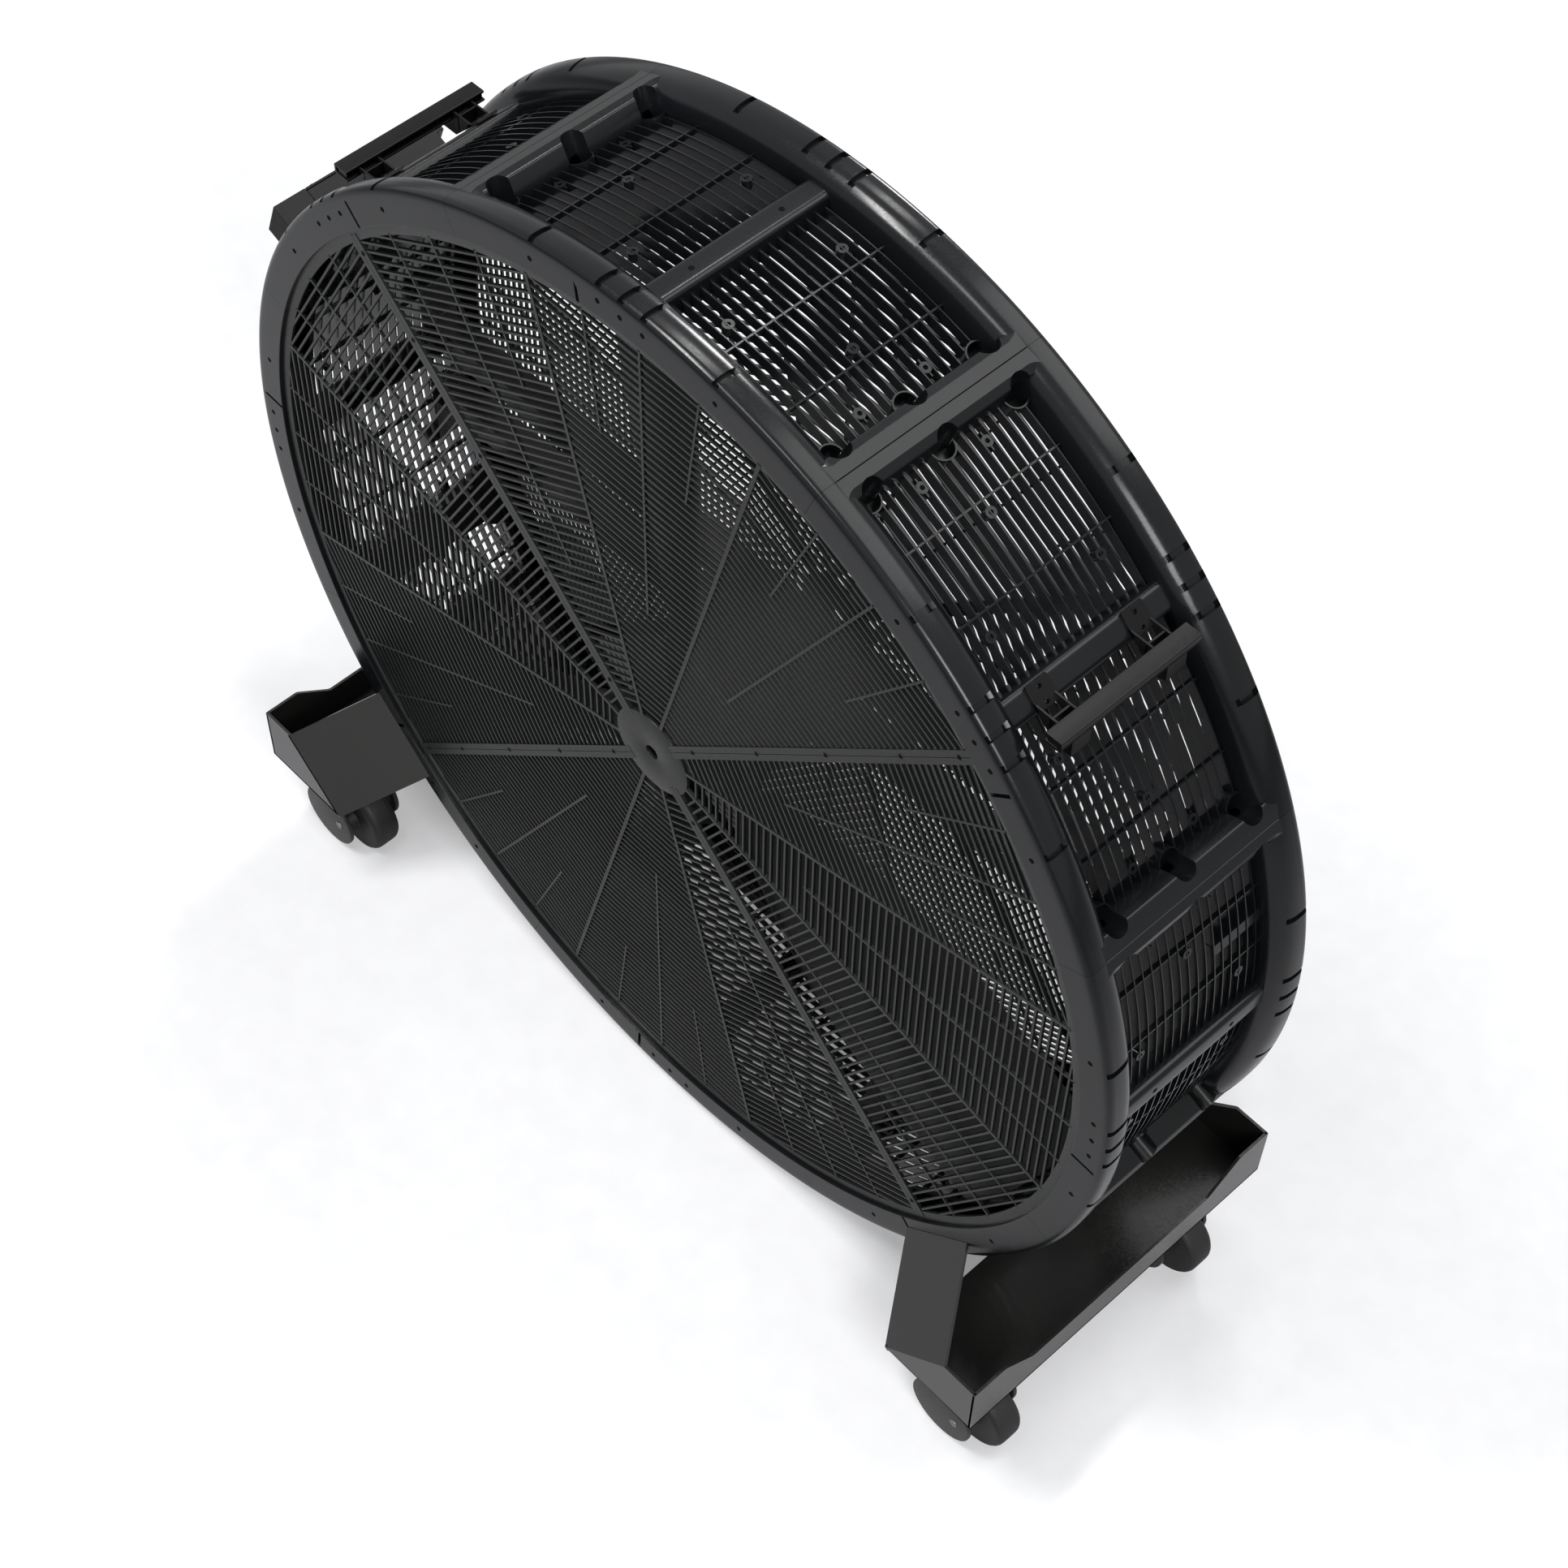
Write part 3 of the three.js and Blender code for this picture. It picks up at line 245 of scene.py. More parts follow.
def keep_node(name, material, bevel=0.0):
    """A CAD node that stays: its own shape, a better material, and softened edges."""
    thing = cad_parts[name]
    thing.data.materials.clear()
    thing.data.materials.append(material)
    if bevel:
        thing.modifiers.new("merge", "WELD").merge_threshold = 1e-5
        flat = thing.modifiers.new("flat", "DECIMATE")
        flat.decimate_type = "DISSOLVE"
        flat.angle_limit = np.radians(1)
        soften_edges(thing, bevel, 30)


# Moulded polypropylene: a fine spark-eroded grain of about 0.3 mm, drawn at 2 mm so that it
# shows, which gives the eye a deep black with a soft, broad shine.
moulded_black = finish_material(
    "moulded_polypropylene", "#090a0b", "#0d0e10", (0.17, 0.25), 0.002, 0.00002, shine=0.18)

# The rim's section as (radius, depth from the drum's end): a flat flange, a tight outer
# corner, and a wide rounding down to the lattice.
RIM_OUTLINE = fillet(
    [(549, 0), (551, 0), (571, 0), (RIM_RADIUS, 0), (RIM_RADIUS, 12), (RIM_RADIUS, 35),
     (549, 37.5), (545, 37.5), (545, 33), (RIM_RADIUS - 4, 29), (RIM_RADIUS - 4, 4), (549, 4)],
    [0.8, 0.01, 0.01, 8, 0.01, 22.5, 0.5, 0.01, 0.01, 15, 4, 0.01], steps=8)
# Along a panel, angles are in degrees from its middle. A slot is (angle, low, high), and
# the plain one is in every panel that has none of its own.
NOTCHES = [-10.8, -2.65, 0.0, 2.65, 10.8]
NOTCH_HALF, NOTCH_FLOOR = 0.32, 579.5
PLAIN_SLOT = (-5.0, 549.4, 572.0)
RIM_SLOTS = {0: (-4.9, 549.4, 573.4), 1: (-5.0, 550.4, 571.4), 2: (5.4, 547.5, 568.0)}
SLOT_HALF, SLOT_DEPTH = 0.195, 3.2
WALL_FOOT, WALL_IN, WALL_OUT = 545.5, 549.0, 561.0
RAIL_WIDTH, RAIL_TOP = 22.0, 584.0
FLARE_FROM, FLARE_TO = 94.0, 107.0
POCKETS = np.array([-81.0, 0.0, 81.0])
POCKET_RADIUS = 11.0
BEAM_HALF, BEAM_TOP, BEAM_REACH = 14.0, 570.0, 97.0
LATTICE_ROWS = np.arange(-8, 9) * 10.4
LATTICE_RIBS = (7.8, 15.0)
LATTICE_REACH = 92.0
BOSS_PLACES = ((5.8, -62), (5.8, 62), (13.8, 0), (18.6, -36), (18.6, 36))


def rim_share(panel, front):
    """One panel's share of a rim: the rim's outline (radius, depth) carried round from seam
    to seam. Between doubled stations the outer corner steps in, which makes the notches,
    and a slot is let into the flange in the same way. Angles are in degrees."""
    half = PANEL_HALF - np.degrees(SEAM / RIM_RADIUS)
    slot_angle, slot_low, slot_high = RIM_SLOTS.get(panel, PLAIN_SLOT)
    both = np.array([-1, -1, 1, 1])
    step = np.array([-0.01, 0.01, -0.01, 0.01])
    notch = np.add.outer(NOTCHES, both * NOTCH_HALF + step).ravel()
    slot = both * SLOT_HALF + step / 2 + slot_angle
    a = np.unique(np.concatenate([np.linspace(-half, half, 33), notch, slot]).round(4))
    r = np.broadcast_to(RIM_OUTLINE[:, 0], (len(a), len(RIM_OUTLINE))).copy()
    d = np.broadcast_to(RIM_OUTLINE[:, 1], r.shape).copy()
    in_notch = (np.abs(a[:, None] - np.array(NOTCHES)) < NOTCH_HALF).any(1)[:, None]
    r = np.where(in_notch & (d > 1.2) & (d < 22.5) & (r > RIM_RADIUS - 3), NOTCH_FLOOR, r)
    if front:
        in_slot = (np.abs(a - slot_angle) < SLOT_HALF)[:, None]
        d = np.where(in_slot & (d < 0.05) & (r > slot_low) & (r < slot_high), SLOT_DEPTH, d)
    y = d - HALF_DEPTH if front else HALF_DEPTH - d
    return carried(polar(r, a[:, None], y))


def seam_rail(side):
    """Half of a seam beam: its outline (t, r) carried along Y, with a flat chamfer along the
    outer corner. Its ends run into the rims with a flare, t (1 + k^2 / 2), and three round
    pockets for the bolts are let into its side, each with its wall at
    t = 22 - sqrt(11^2 - (y - pocket)^2) and its floor at r = 549."""
    top_t = np.array([SEAM + 0.4, 6, 9.5, 11.4, 11.8, 12.2, 12.6, 14, 17, 19.6, 20.1])
    top_r = RAIL_TOP - np.array([0, 0, 0, 0, 0, 0.2, 0.4, 1.1, 2.6, 3.9, 4.9])
    near = np.linspace(-POCKET_RADIUS, POCKET_RADIUS, 21) + POCKETS[:, None]
    rims = near[:, [0, -1]] + [-0.02, 0.02]
    flare = np.linspace(FLARE_FROM, FLARE_TO, 7)
    y = np.concatenate([near.ravel(), rims.ravel(), flare, -flare])
    y = np.unique(y.round(3))[:, None]
    gap = np.abs(y - POCKETS).min(1)[:, None]
    open_side = gap < POCKET_RADIUS + 0.01
    round_wall = RAIL_WIDTH - np.sqrt(np.maximum(POCKET_RADIUS ** 2 - gap ** 2, 0))
    wall = np.where(open_side, round_wall, 99)
    t = np.minimum(top_t, wall)
    r = np.interp(t, top_t, top_r)
    foot_t, foot_r = np.where(open_side, wall, 21.2), np.where(open_side, WALL_IN, 560)
    one = np.ones_like(y)
    seam, edge = SEAM * one, RAIL_WIDTH * one
    t = np.hstack([seam, seam, t, foot_t, edge - 0.2, edge])
    r = np.hstack([WALL_FOOT * one, (RAIL_TOP - 0.4) * one, r, foot_r, WALL_IN * one,
                   WALL_FOOT * one])
    k = np.clip((np.abs(y) - FLARE_FROM) / (FLARE_TO - FLARE_FROM), 0, 1)
    t = np.where(t > 7.1, t * (1 + 0.5 * k ** 2), t)
    rings = np.stack([r, np.broadcast_to(y, r.shape), t * -side], -1)
    return turn(carried(rings), side * PANEL_HALF)


def pocket_cup(side, y):
    """The half-round wall of a bolt pocket where it stands out of the beam, with points
    (r, y + q sin a, 22 + q cos a), and the disc of its floor."""
    a = np.radians(np.linspace(-90, 90, 13))[:, None]
    q, r = np.array([(10.6, 547), (12, 547), (12, WALL_OUT + 1), (10.6, WALL_OUT + 1)]).T
    across = (RAIL_WIDTH + q * np.cos(a)) * -side
    wall = carried(np.stack(np.broadcast_arrays(r, y + q * np.sin(a), across), -1))
    disc = [(0.01, 546.5), (POCKET_RADIUS, 546.5), (POCKET_RADIUS, WALL_IN), (0.01, WALL_IN)]
    floor = lathe(disc, 24, centre=(0, y, -RAIL_WIDTH * side), axis="x")
    return [turn(wall, side * PANEL_HALF), turn(floor, side * PANEL_HALF)]


def bar_along(half, r0, r1, y0, y1, angle):
    """A bar along the drum's wall at one angle, with half its width on each side."""
    return turn(blocks([[r0, y0, -half]], [[r1, y1, half]]), angle)


def slats(rows, a0, a1, half=0.6):
    """Curved slats round the wall between two angles, one at each row: a thin upright
    section carried along (r cos a, r sin a)."""
    a = np.linspace(a0, a1, 13)[:, None]
    r = np.array([[WALL_IN, WALL_OUT, WALL_OUT, WALL_IN]])
    y = np.array([[-half, -half, half, half]])
    return [carried(polar(r, a, y + row)) for row in rows]


def wall_boss(angle, y):
    """A ring boss with a short rib on each side, moulded between two slats of the lattice."""
    top = WALL_OUT - 0.4
    ring = lathe([(2.2, 552), (5.3, 552), (5.3, top), (2.2, top)], 18, axis="x")
    ribs = blocks([[WALL_OUT - 7, -0.7, 4.8], [WALL_OUT - 7, -0.7, -9]],
                  [[WALL_OUT - 1, 0.7, 9], [WALL_OUT - 1, 0.7, -4.8]])
    return [turn(move(part, y=y), angle) for part in (ring, ribs)]


def half_lattice(side):
    """The slats of half a panel, from the middle beam to the seam beam. Each stops at the
    beam's wall, or at the round wall of a pocket's cup where it meets one."""
    off = np.abs(LATTICE_ROWS[:, None] - POCKETS).min(1).round(1)
    parts = []
    for gap in np.unique(off):
        end = RAIL_WIDTH + np.sqrt(max(POCKET_RADIUS ** 2 - gap ** 2, 0)) - 0.5
        end = PANEL_HALF - np.degrees(end / (WALL_IN + 6))
        parts += slats(LATTICE_ROWS[off == gap], *sorted((side * 1.3, side * end)))
    return parts


# The middle beam of a panel is a rounded channel with a plate across each end.
beam = [(WALL_FOOT, -BEAM_HALF), (BEAM_TOP, -BEAM_HALF), (BEAM_TOP, BEAM_HALF),
        (WALL_FOOT, BEAM_HALF), (WALL_FOOT, BEAM_HALF - 3), (BEAM_TOP - 3, BEAM_HALF - 3),
        (BEAM_TOP - 3, 3 - BEAM_HALF), (WALL_FOOT, 3 - BEAM_HALF)]
beam = fillet(beam, [0.01, 7, 7, 0.01, 0.01, 1, 1, 0.01], steps=6)
beam_plates = blocks([[WALL_FOOT, -91.6, 3 - BEAM_HALF], [WALL_FOOT, 88.6, 3 - BEAM_HALF]],
                     [[567.2, -88.6, BEAM_HALF - 3], [567.2, 91.6, BEAM_HALF - 3]])
mid_beam = [prism(beam, -BEAM_REACH, BEAM_REACH, (0, 2, 1)), beam_plates]

for k in range(8):
    parts = [rim_share(k, True), rim_share(k, False), seam_rail(1), seam_rail(-1), *mid_beam]
    for side in (-1, 1):
        parts += half_lattice(side)
        for y in POCKETS:
            parts += pocket_cup(side, y)
        for rib in LATTICE_RIBS:
            parts.append(bar_along(0.9, WALL_OUT - 6, WALL_OUT - 0.6, -LATTICE_REACH,
                                   LATTICE_REACH, side * rib))
        for angle, y in BOSS_PLACES:
            parts += wall_boss(side * angle, y + 0.4)
        # Pads on the two side panels carry the feet of the motor's cross tubes.
        if k in (0, 4):
            parts.append(bar_along(6, 543.4, WALL_OUT - 1, 30, LATTICE_REACH, side * 11.25))
    piece(f"drum_panel_{45 * k}", [turn(p, 45 * k) for p in parts], moulded_black, "frame",
          [f"housing_panel_{45 * k}"])

# Hexagon bolts pull the two halves of each seam beam together, one in each pocket. They
# are steel with black zinc plating, a thin even coat with crystals of about 0.05 mm, drawn
# at 1.5 mm so that they show, which gives the eye small dull glints.
black_zinc = finish_material(
    "black_zinc_steel", "#101011", "#1b1b1c", (0.28, 0.45), 0.0015, 0.00003, patch=0.02,
    metallic=1.0)


def screw_head(radius, high, axis="y"):
    """A low domed head with a recess in its middle."""
    outline = [(0.01, high - 0.8), (radius * 0.4, high - 0.8), (radius * 0.45, high),
               (radius * 0.8, high * 0.9), (radius, high * 0.4), (radius, -0.6), (0.01, -0.6)]
    return lathe(outline, 12, axis=axis)


def hexagon(radius, low, high, axes):
    """A bolt's or nut's six-sided head: corners at 30, 90, ... degrees, as a prism."""
    a = np.radians(np.arange(6) * 60 + 30)
    return prism(np.stack([radius * np.cos(a), radius * np.sin(a)], 1), low, high, axes)


seam_bolts = []
for k in range(8):
    for side in (-1, 1):
        for y in POCKETS:
            bolt = move(hexagon(5.2, 8.4, 12.5, (0, 1, 2)), x=558, y=y)
            bolt = bolt if side < 0 else mirror(bolt, 2)
            seam_bolts.append(turn(bolt, 45 * k + side * PANEL_HALF))
piece("seam_bolts", seam_bolts, black_zinc, "frame", ())

# Painted shade: the real screw holes, notches and slots open into the hollow rims, where no
# light falls, so they are painted matt and almost black, which makes the eye read them as
# deep. A notch or slot is let into its rim and has a floor of painted shade. A screw hole is
# not cut: it is a disc of painted shade that stands 0.12 mm out. The grain of 4 mm hardly shows.
HOLE_PLACES = ((0, 566.8), (-2.7, 566.8), (2.7, 566.8), (-11.26, 564.5), (11.26, 564.5))
painted_hollow_shade = finish_material(
    "painted_hollow_shade", "#020202", "#040404", (0.8, 0.95), 0.004, 0.00001, shine=0.05)


def painted_hole_shade(radius, high, axis="y"):
    """A shallow disc of painted shade that stands for a screw hole, with its face high above the
    part's.
    """
    return lathe([(0.01, high), (radius, high), (radius, -0.6), (0.01, -0.6)], 14, axis=axis)


# Discs of painted shade stand for the screw holes, and blocks of painted shade lie on the floors
# of the notches and slots.
painted_shade_parts = []
for k in range(8):
    for angle, r in HOLE_PLACES:
        mouth = move(painted_hole_shade(2.7, 0.12), x=r, y=HALF_DEPTH)
        painted_shade_parts += [turn(mouth, 45 * k + angle), turn(mirror(mouth, 1), 45 * k + angle)]
    for y in (-49, 49):
        painted_shade_parts.append(turn(move(painted_hole_shade(2.7, 0.12, axis="x"), x=BEAM_TOP, y=y), 45 * k))
    low, high = NOTCH_FLOOR - 1, NOTCH_FLOOR + 0.6
    for angle in NOTCHES:
        floor = blocks([[low, -HALF_DEPTH + 1.4, -3.0], [low, HALF_DEPTH - 22.4, -3.0]],
                       [[high, -HALF_DEPTH + 22.4, 3.0], [high, HALF_DEPTH - 1.4, 3.0]])
        painted_shade_parts.append(turn(floor, 45 * k + angle))
    slot_angle, slot_low, slot_high = RIM_SLOTS.get(k, PLAIN_SLOT)
    floor = blocks([[slot_low + 1.8, -HALF_DEPTH + 2.4, -1.75]],
                   [[slot_high - 1.2, -HALF_DEPTH + 3.6, 1.75]])
    painted_shade_parts.append(turn(floor, 45 * k + slot_angle))
piece("rim_painted_shade", painted_shade_parts, painted_hollow_shade, "frame", ())

# ------------------------------------------------------------------ grilles
# Front and rear guards: four moulded quadrants each, with flat slats square to each
# thirty-degree sector, spokes across them, and two bars that screw the quadrants together.
# ABS keeps a fine eroded grain of about 0.3 mm, drawn at 2 mm so that it shows, which gives
# the eye a flat black that is a little greyer than the drum's.
grille_black = finish_material(
    "moulded_abs", "#0b0c0c", "#101111", (0.3, 0.4), 0.002, 0.00002, shine=0.22)
GRILLE_FACE, GRILLE_BACK = -120.7, -117.5
SLAT_START, SLAT_PITCH, SLAT_HALF, SLAT_REACH = 60.0, 9.2, 1.15, 541.0
SPOKE_END, LONG_SPOKE, SHORT_SPOKE = 540.0, 205.0, 402.0
EDGE_ROOM, SPOKE_ROOM = 6.0, 1.4
BAR_SCREWS = (80.3, 199.8, 319.3, 438.8, 526.0)


def flat_bar(u0, u1, half, angle, y0=GRILLE_FACE, y1=GRILLE_BACK):
    """A spoke from radius u0 to u1 along one angle."""
    return turn(blocks([[u0, y0, -half]], [[u1, y1, half]]), angle)


def sector_slats(angle, low_bar, high_bar):
    """The slats of one sector: at u = 60, 69.2, ... each runs square to the sector's middle
    from one edge spoke to the other, v = u tan 15 less the spoke, or to the rim."""
    u = np.arange(SLAT_START, SLAT_REACH - 3, SLAT_PITCH)
    edge = u * np.tan(np.radians(15))
    rim = np.sqrt(SLAT_REACH ** 2 - u ** 2)
    v0 = -np.minimum(edge - low_bar, rim)
    v1 = np.minimum(edge - high_bar, rim)
    low = np.stack([u - SLAT_HALF, np.full_like(u, GRILLE_FACE + 0.2), v0], 1)
    high = np.stack([u + SLAT_HALF, np.full_like(u, GRILLE_BACK), v1], 1)
    return turn(blocks(low, high), angle)


def grille_quadrant():
    """One quadrant, centred on +X: a share of the rim and of the hub's ring, the slats of
    three sectors with spokes across them, and a bar along each edge."""
    rim = fillet([(538, GRILLE_FACE), (572, GRILLE_FACE), (572, GRILLE_BACK), (538, GRILLE_BACK)],
                 [0.5, 1.2, 0.4, 0.4], steps=2)
    hub = fillet([(8, GRILLE_FACE - 0.4), (49, GRILLE_FACE - 0.4), (49, GRILLE_BACK),
                  (8, GRILLE_BACK)], [0.3, 0.8, 0.3, 0.3], steps=2)
    rim_angles = np.linspace(-45 + 0.03, 45 - 0.03, 61)[:, None]
    hub_angles = np.linspace(-44.9, 44.9, 25)[:, None]
    parts = [carried(polar(rim[:, 0], rim_angles, rim[:, 1])),
             carried(polar(hub[:, 0], hub_angles, hub[:, 1]))]
    for middle, low, high in ((-30, EDGE_ROOM, SPOKE_ROOM), (0, SPOKE_ROOM, SPOKE_ROOM),
                              (30, SPOKE_ROOM, EDGE_ROOM)):
        parts.append(sector_slats(middle, low, high))
        parts.append(flat_bar(LONG_SPOKE, SPOKE_END, 1.3, middle))
        parts.append(flat_bar(SHORT_SPOKE, SPOKE_END, 1.1, middle - 7.5))
        parts.append(flat_bar(SHORT_SPOKE, SPOKE_END, 1.1, middle + 7.5))
    for edge in (-15, 15):
        parts.append(flat_bar(47, SPOKE_END, 2.0, edge, y0=GRILLE_FACE - 0.3))
    for side in (-1, 1):
        low, high = sorted((side * -0.25, side * -7.0))
        bar = blocks([[40, GRILLE_FACE - 0.6, low]], [[545, GRILLE_BACK, high]])
        parts.append(turn(bar, side * 45))
    return parts


quadrant = grille_quadrant()
for end in ("front", "rear"):
    for name, angle in (("right", 0), ("top", 90), ("left", 180), ("bottom", 270)):
        parts = [turn(p, angle) for p in quadrant]
        if end == "rear":
            parts = [mirror(p, 1) for p in parts]
        piece(f"{end}_guard_{name}", parts, grille_black, "frame", [f"{end}_grille_{name}"],
              turned=False)

# Small black screws along the two bars that join the quadrants, at even steps.
bar_screws = []
for angle in (45, 135, 225, 315):
    for r in BAR_SCREWS:
        head = move(screw_head(2.8, 0.7), x=r, y=-GRILLE_FACE + 0.6)
        bar_screws += [turn(head, angle), turn(mirror(head, 1), angle)]
piece("guard_screws", bar_screws, black_zinc, "frame", (), turned=False)

# ------------------------------------------------------------------ handles
# A lifting handle on the beam at each upper corner: glass-filled nylon, moulded as a
# channel grip with ribs inside it, on two hollow struts that are screwed to the beam. The
# fibres of about 0.3 mm leave faint flow marks, drawn at 2.5 mm so that they show, which
# gives the eye a deep black with a dull and uneven sheen.
nylon_black = finish_material(
    "glass_filled_nylon", "#090909", "#0c0c0d", (0.28, 0.38), 0.0025, 0.00004, shine=0.13)
GRIP_IN, GRIP_OUT = 432.65, 450.65
GRIP_TOP, GRIP_LOW = 404.55, 392.55
GRIP_HALF, GRIP_WALL = 80.0, 2.6
STRUT_PLACE, STRUT_WIDTH, STRUT_WALL = 54.3, 22.8, 2.0
STRUT_TOP, STRUT_LOW = 401.5, 375.1
BEAM_SUM = 806.6
PAD_LOW, PAD_TOP = 570.3, 573.3


def strut_wall(x0, x1, y0, y1, lower=0.0):
    """A wall of a strut, cut off along the beam's sloping face x + z = 806.6."""
    x = np.array([x0, x1])
    floor = np.maximum(STRUT_LOW, BEAM_SUM - x)
    roof = np.maximum(floor + 0.5, STRUT_TOP - lower)
    x, y = x[[0, 1, 1, 0]], np.array([y0, y0, y1, y1])
    points = [np.stack([x, y, z[[0, 1, 1, 0]]], 1) for z in (floor, roof)]
    return hexes(np.concatenate(points)[None])


def handle_parts():
    """The grip's channel with a row of thin ribs, and two struts of five walls each, on a
    pad that lies on the beam."""
    channel = [(GRIP_IN, GRIP_TOP), (GRIP_OUT, GRIP_TOP), (GRIP_OUT, GRIP_LOW),
               (GRIP_IN, GRIP_LOW), (GRIP_IN, GRIP_LOW + GRIP_WALL),
               (GRIP_OUT - GRIP_WALL, GRIP_LOW + GRIP_WALL),
               (GRIP_OUT - GRIP_WALL, GRIP_TOP - GRIP_WALL), (GRIP_IN, GRIP_TOP - GRIP_WALL)]
    channel = fillet(channel, [1.0, 1.4, 5.0, 1.0, 0.6, 3.0, 0.4, 0.6])
    y = np.arange(-12, 13) * 6.5
    one = np.ones_like(y)
    low = np.stack([(GRIP_IN + 2) * one, y - 0.8, (GRIP_LOW + 1) * one], 1)
    high = np.stack([(GRIP_OUT - 1) * one, y + 0.8, (GRIP_TOP - 1) * one], 1)
    parts = [prism(channel, -GRIP_HALF, GRIP_HALF, (0, 2, 1)), blocks(low, high)]
    inner, knee, outer = BEAM_SUM - STRUT_TOP, BEAM_SUM - STRUT_LOW, GRIP_OUT - 1.5
    for side in (-1, 1):
        y0 = side * STRUT_PLACE - STRUT_WIDTH / 2
        y1 = y0 + STRUT_WIDTH
        for y in (y0, y1 - STRUT_WALL):
            parts.append(strut_wall(inner, knee, y, y + STRUT_WALL))
            parts.append(strut_wall(knee, outer, y, y + STRUT_WALL))
        parts.append(strut_wall(424.65, 424.65 + STRUT_WALL, y0, y1, 1.0))
        parts.append(strut_wall(inner + 0.2, inner + 0.2 + STRUT_WALL, y0, y1))
        parts.append(strut_wall(outer - STRUT_WALL, outer, y0, y1))
        parts.append(turn(blocks([[PAD_LOW, y0, -12]], [[PAD_TOP, y1, 12]]), 45))
    return parts


handle = handle_parts()
piece("lift_handle_right", handle, nylon_black, "frame", ["handle_right"], bevel=0.4)
piece("lift_handle_left", [mirror(p, 0) for p in handle], nylon_black, "frame", ["handle_left"],
      bevel=0.4)
pad_screws = []
for y in (-STRUT_PLACE, STRUT_PLACE):
    for t in (-7, 7):
        head = turn(move(screw_head(2.6, 0.8, axis="x"), x=PAD_TOP, y=y, z=t), 45)
        pad_screws += [head, mirror(head, 0)]
piece("handle_screws", pad_screws, black_zinc, "frame", ())

# ------------------------------------------------------------------ switch box
# The electrical box on the upper left seam beam: folded steel with a black powder coat,
# a lid and an end cap, a speed knob and a cable gland in nylon. The lead is not shown. The
# coat is baked with a wrinkle of about 0.8 mm, drawn at 2.5 mm so that it shows, which
# gives the eye a flat charcoal with no clear highlight.
box_coat = finish_material(
    "textured_powder_coat", "#0b0b0b", "#0f0f0e", (0.5, 0.62), 0.0025, 0.0001, ior=1.5,
    shine=0.15)
for name in ("switch_box_body", "switch_box_lid", "switch_box_end"):
    keep_node(name, box_coat, 1.0)
BOX_TURN, BOX_LID, BOX_END = 157.5, 635.0, 110.3
box_screws = []
for y, t in ((-68, -15), (-68, 15), (-28, -17), (-28, 17), (100, -17), (100, 17)):
    box_screws.append(turn(move(screw_head(2.8, 1.2, axis="x"), x=BOX_LID, y=y, z=t), BOX_TURN))
piece("switch_box_screws", box_screws, black_zinc, "frame", ())

knob_outline = fillet([(0.01, 0), (11, 0), (11, 1.6), (9.4, 2.2), (8.8, 7.7), (0.01, 7.7)],
                      [0, 0.4, 0.4, 0.3, 1.0, 0], steps=3)
knob = [lathe(knob_outline, 40), blocks([[-2.5, 5, -10]], [[2.5, 14, 10]])]
knob = [turn(move(p, x=621, y=BOX_END), BOX_TURN) for p in knob]
piece("speed_dial", knob, nylon_black, "speed_knob", ["speed_knob"], bevel=0.5)

gland = fillet([(4, 0), (10, 0), (10, 7), (8, 7.5), (8, 17), (6, 20), (4, 20)], 0.3, steps=2)
gland = turn(move(lathe(gland, 28), x=597.3, y=BOX_END), BOX_TURN)
piece("lead_gland", [gland], nylon_black, "frame", ["cable_gland"])

# ------------------------------------------------------------------ rotor
# Three pressed aluminium blades with a dark satin coat, bolted by their flat roots to a
# turned steel hub, and a moulded cap over the shaft's end.
# The satin film has an orange peel of about 1 mm, drawn at 4 mm so that it shows, which
# gives the eye a dark, soft gleam along each blade.
blade_coat = finish_material(
    "satin_coated_aluminium", "#0b0c0c", "#0f1010", (0.32, 0.42), 0.004, 0.00005, shine=0.2)
# Turned steel: feed marks of about 0.2 mm, drawn as a grain of 1.5 mm, on bare bright metal
# whose reflections are slightly soft.
turned_steel = finish_material(
    "turned_steel", "#77787a", "#8d8e90", (0.25, 0.4), 0.0015, 0.00002, metallic=1.0)
BLADE_REST = -27.0
BLADE_FRONT = -76.0
BLADE_ROOT, BLADE_PAD_END, BLADE_OPEN, BLADE_TIP = 34.0, 86.0, 112.0, 531.0
BLADE_WIDEN = 220.0


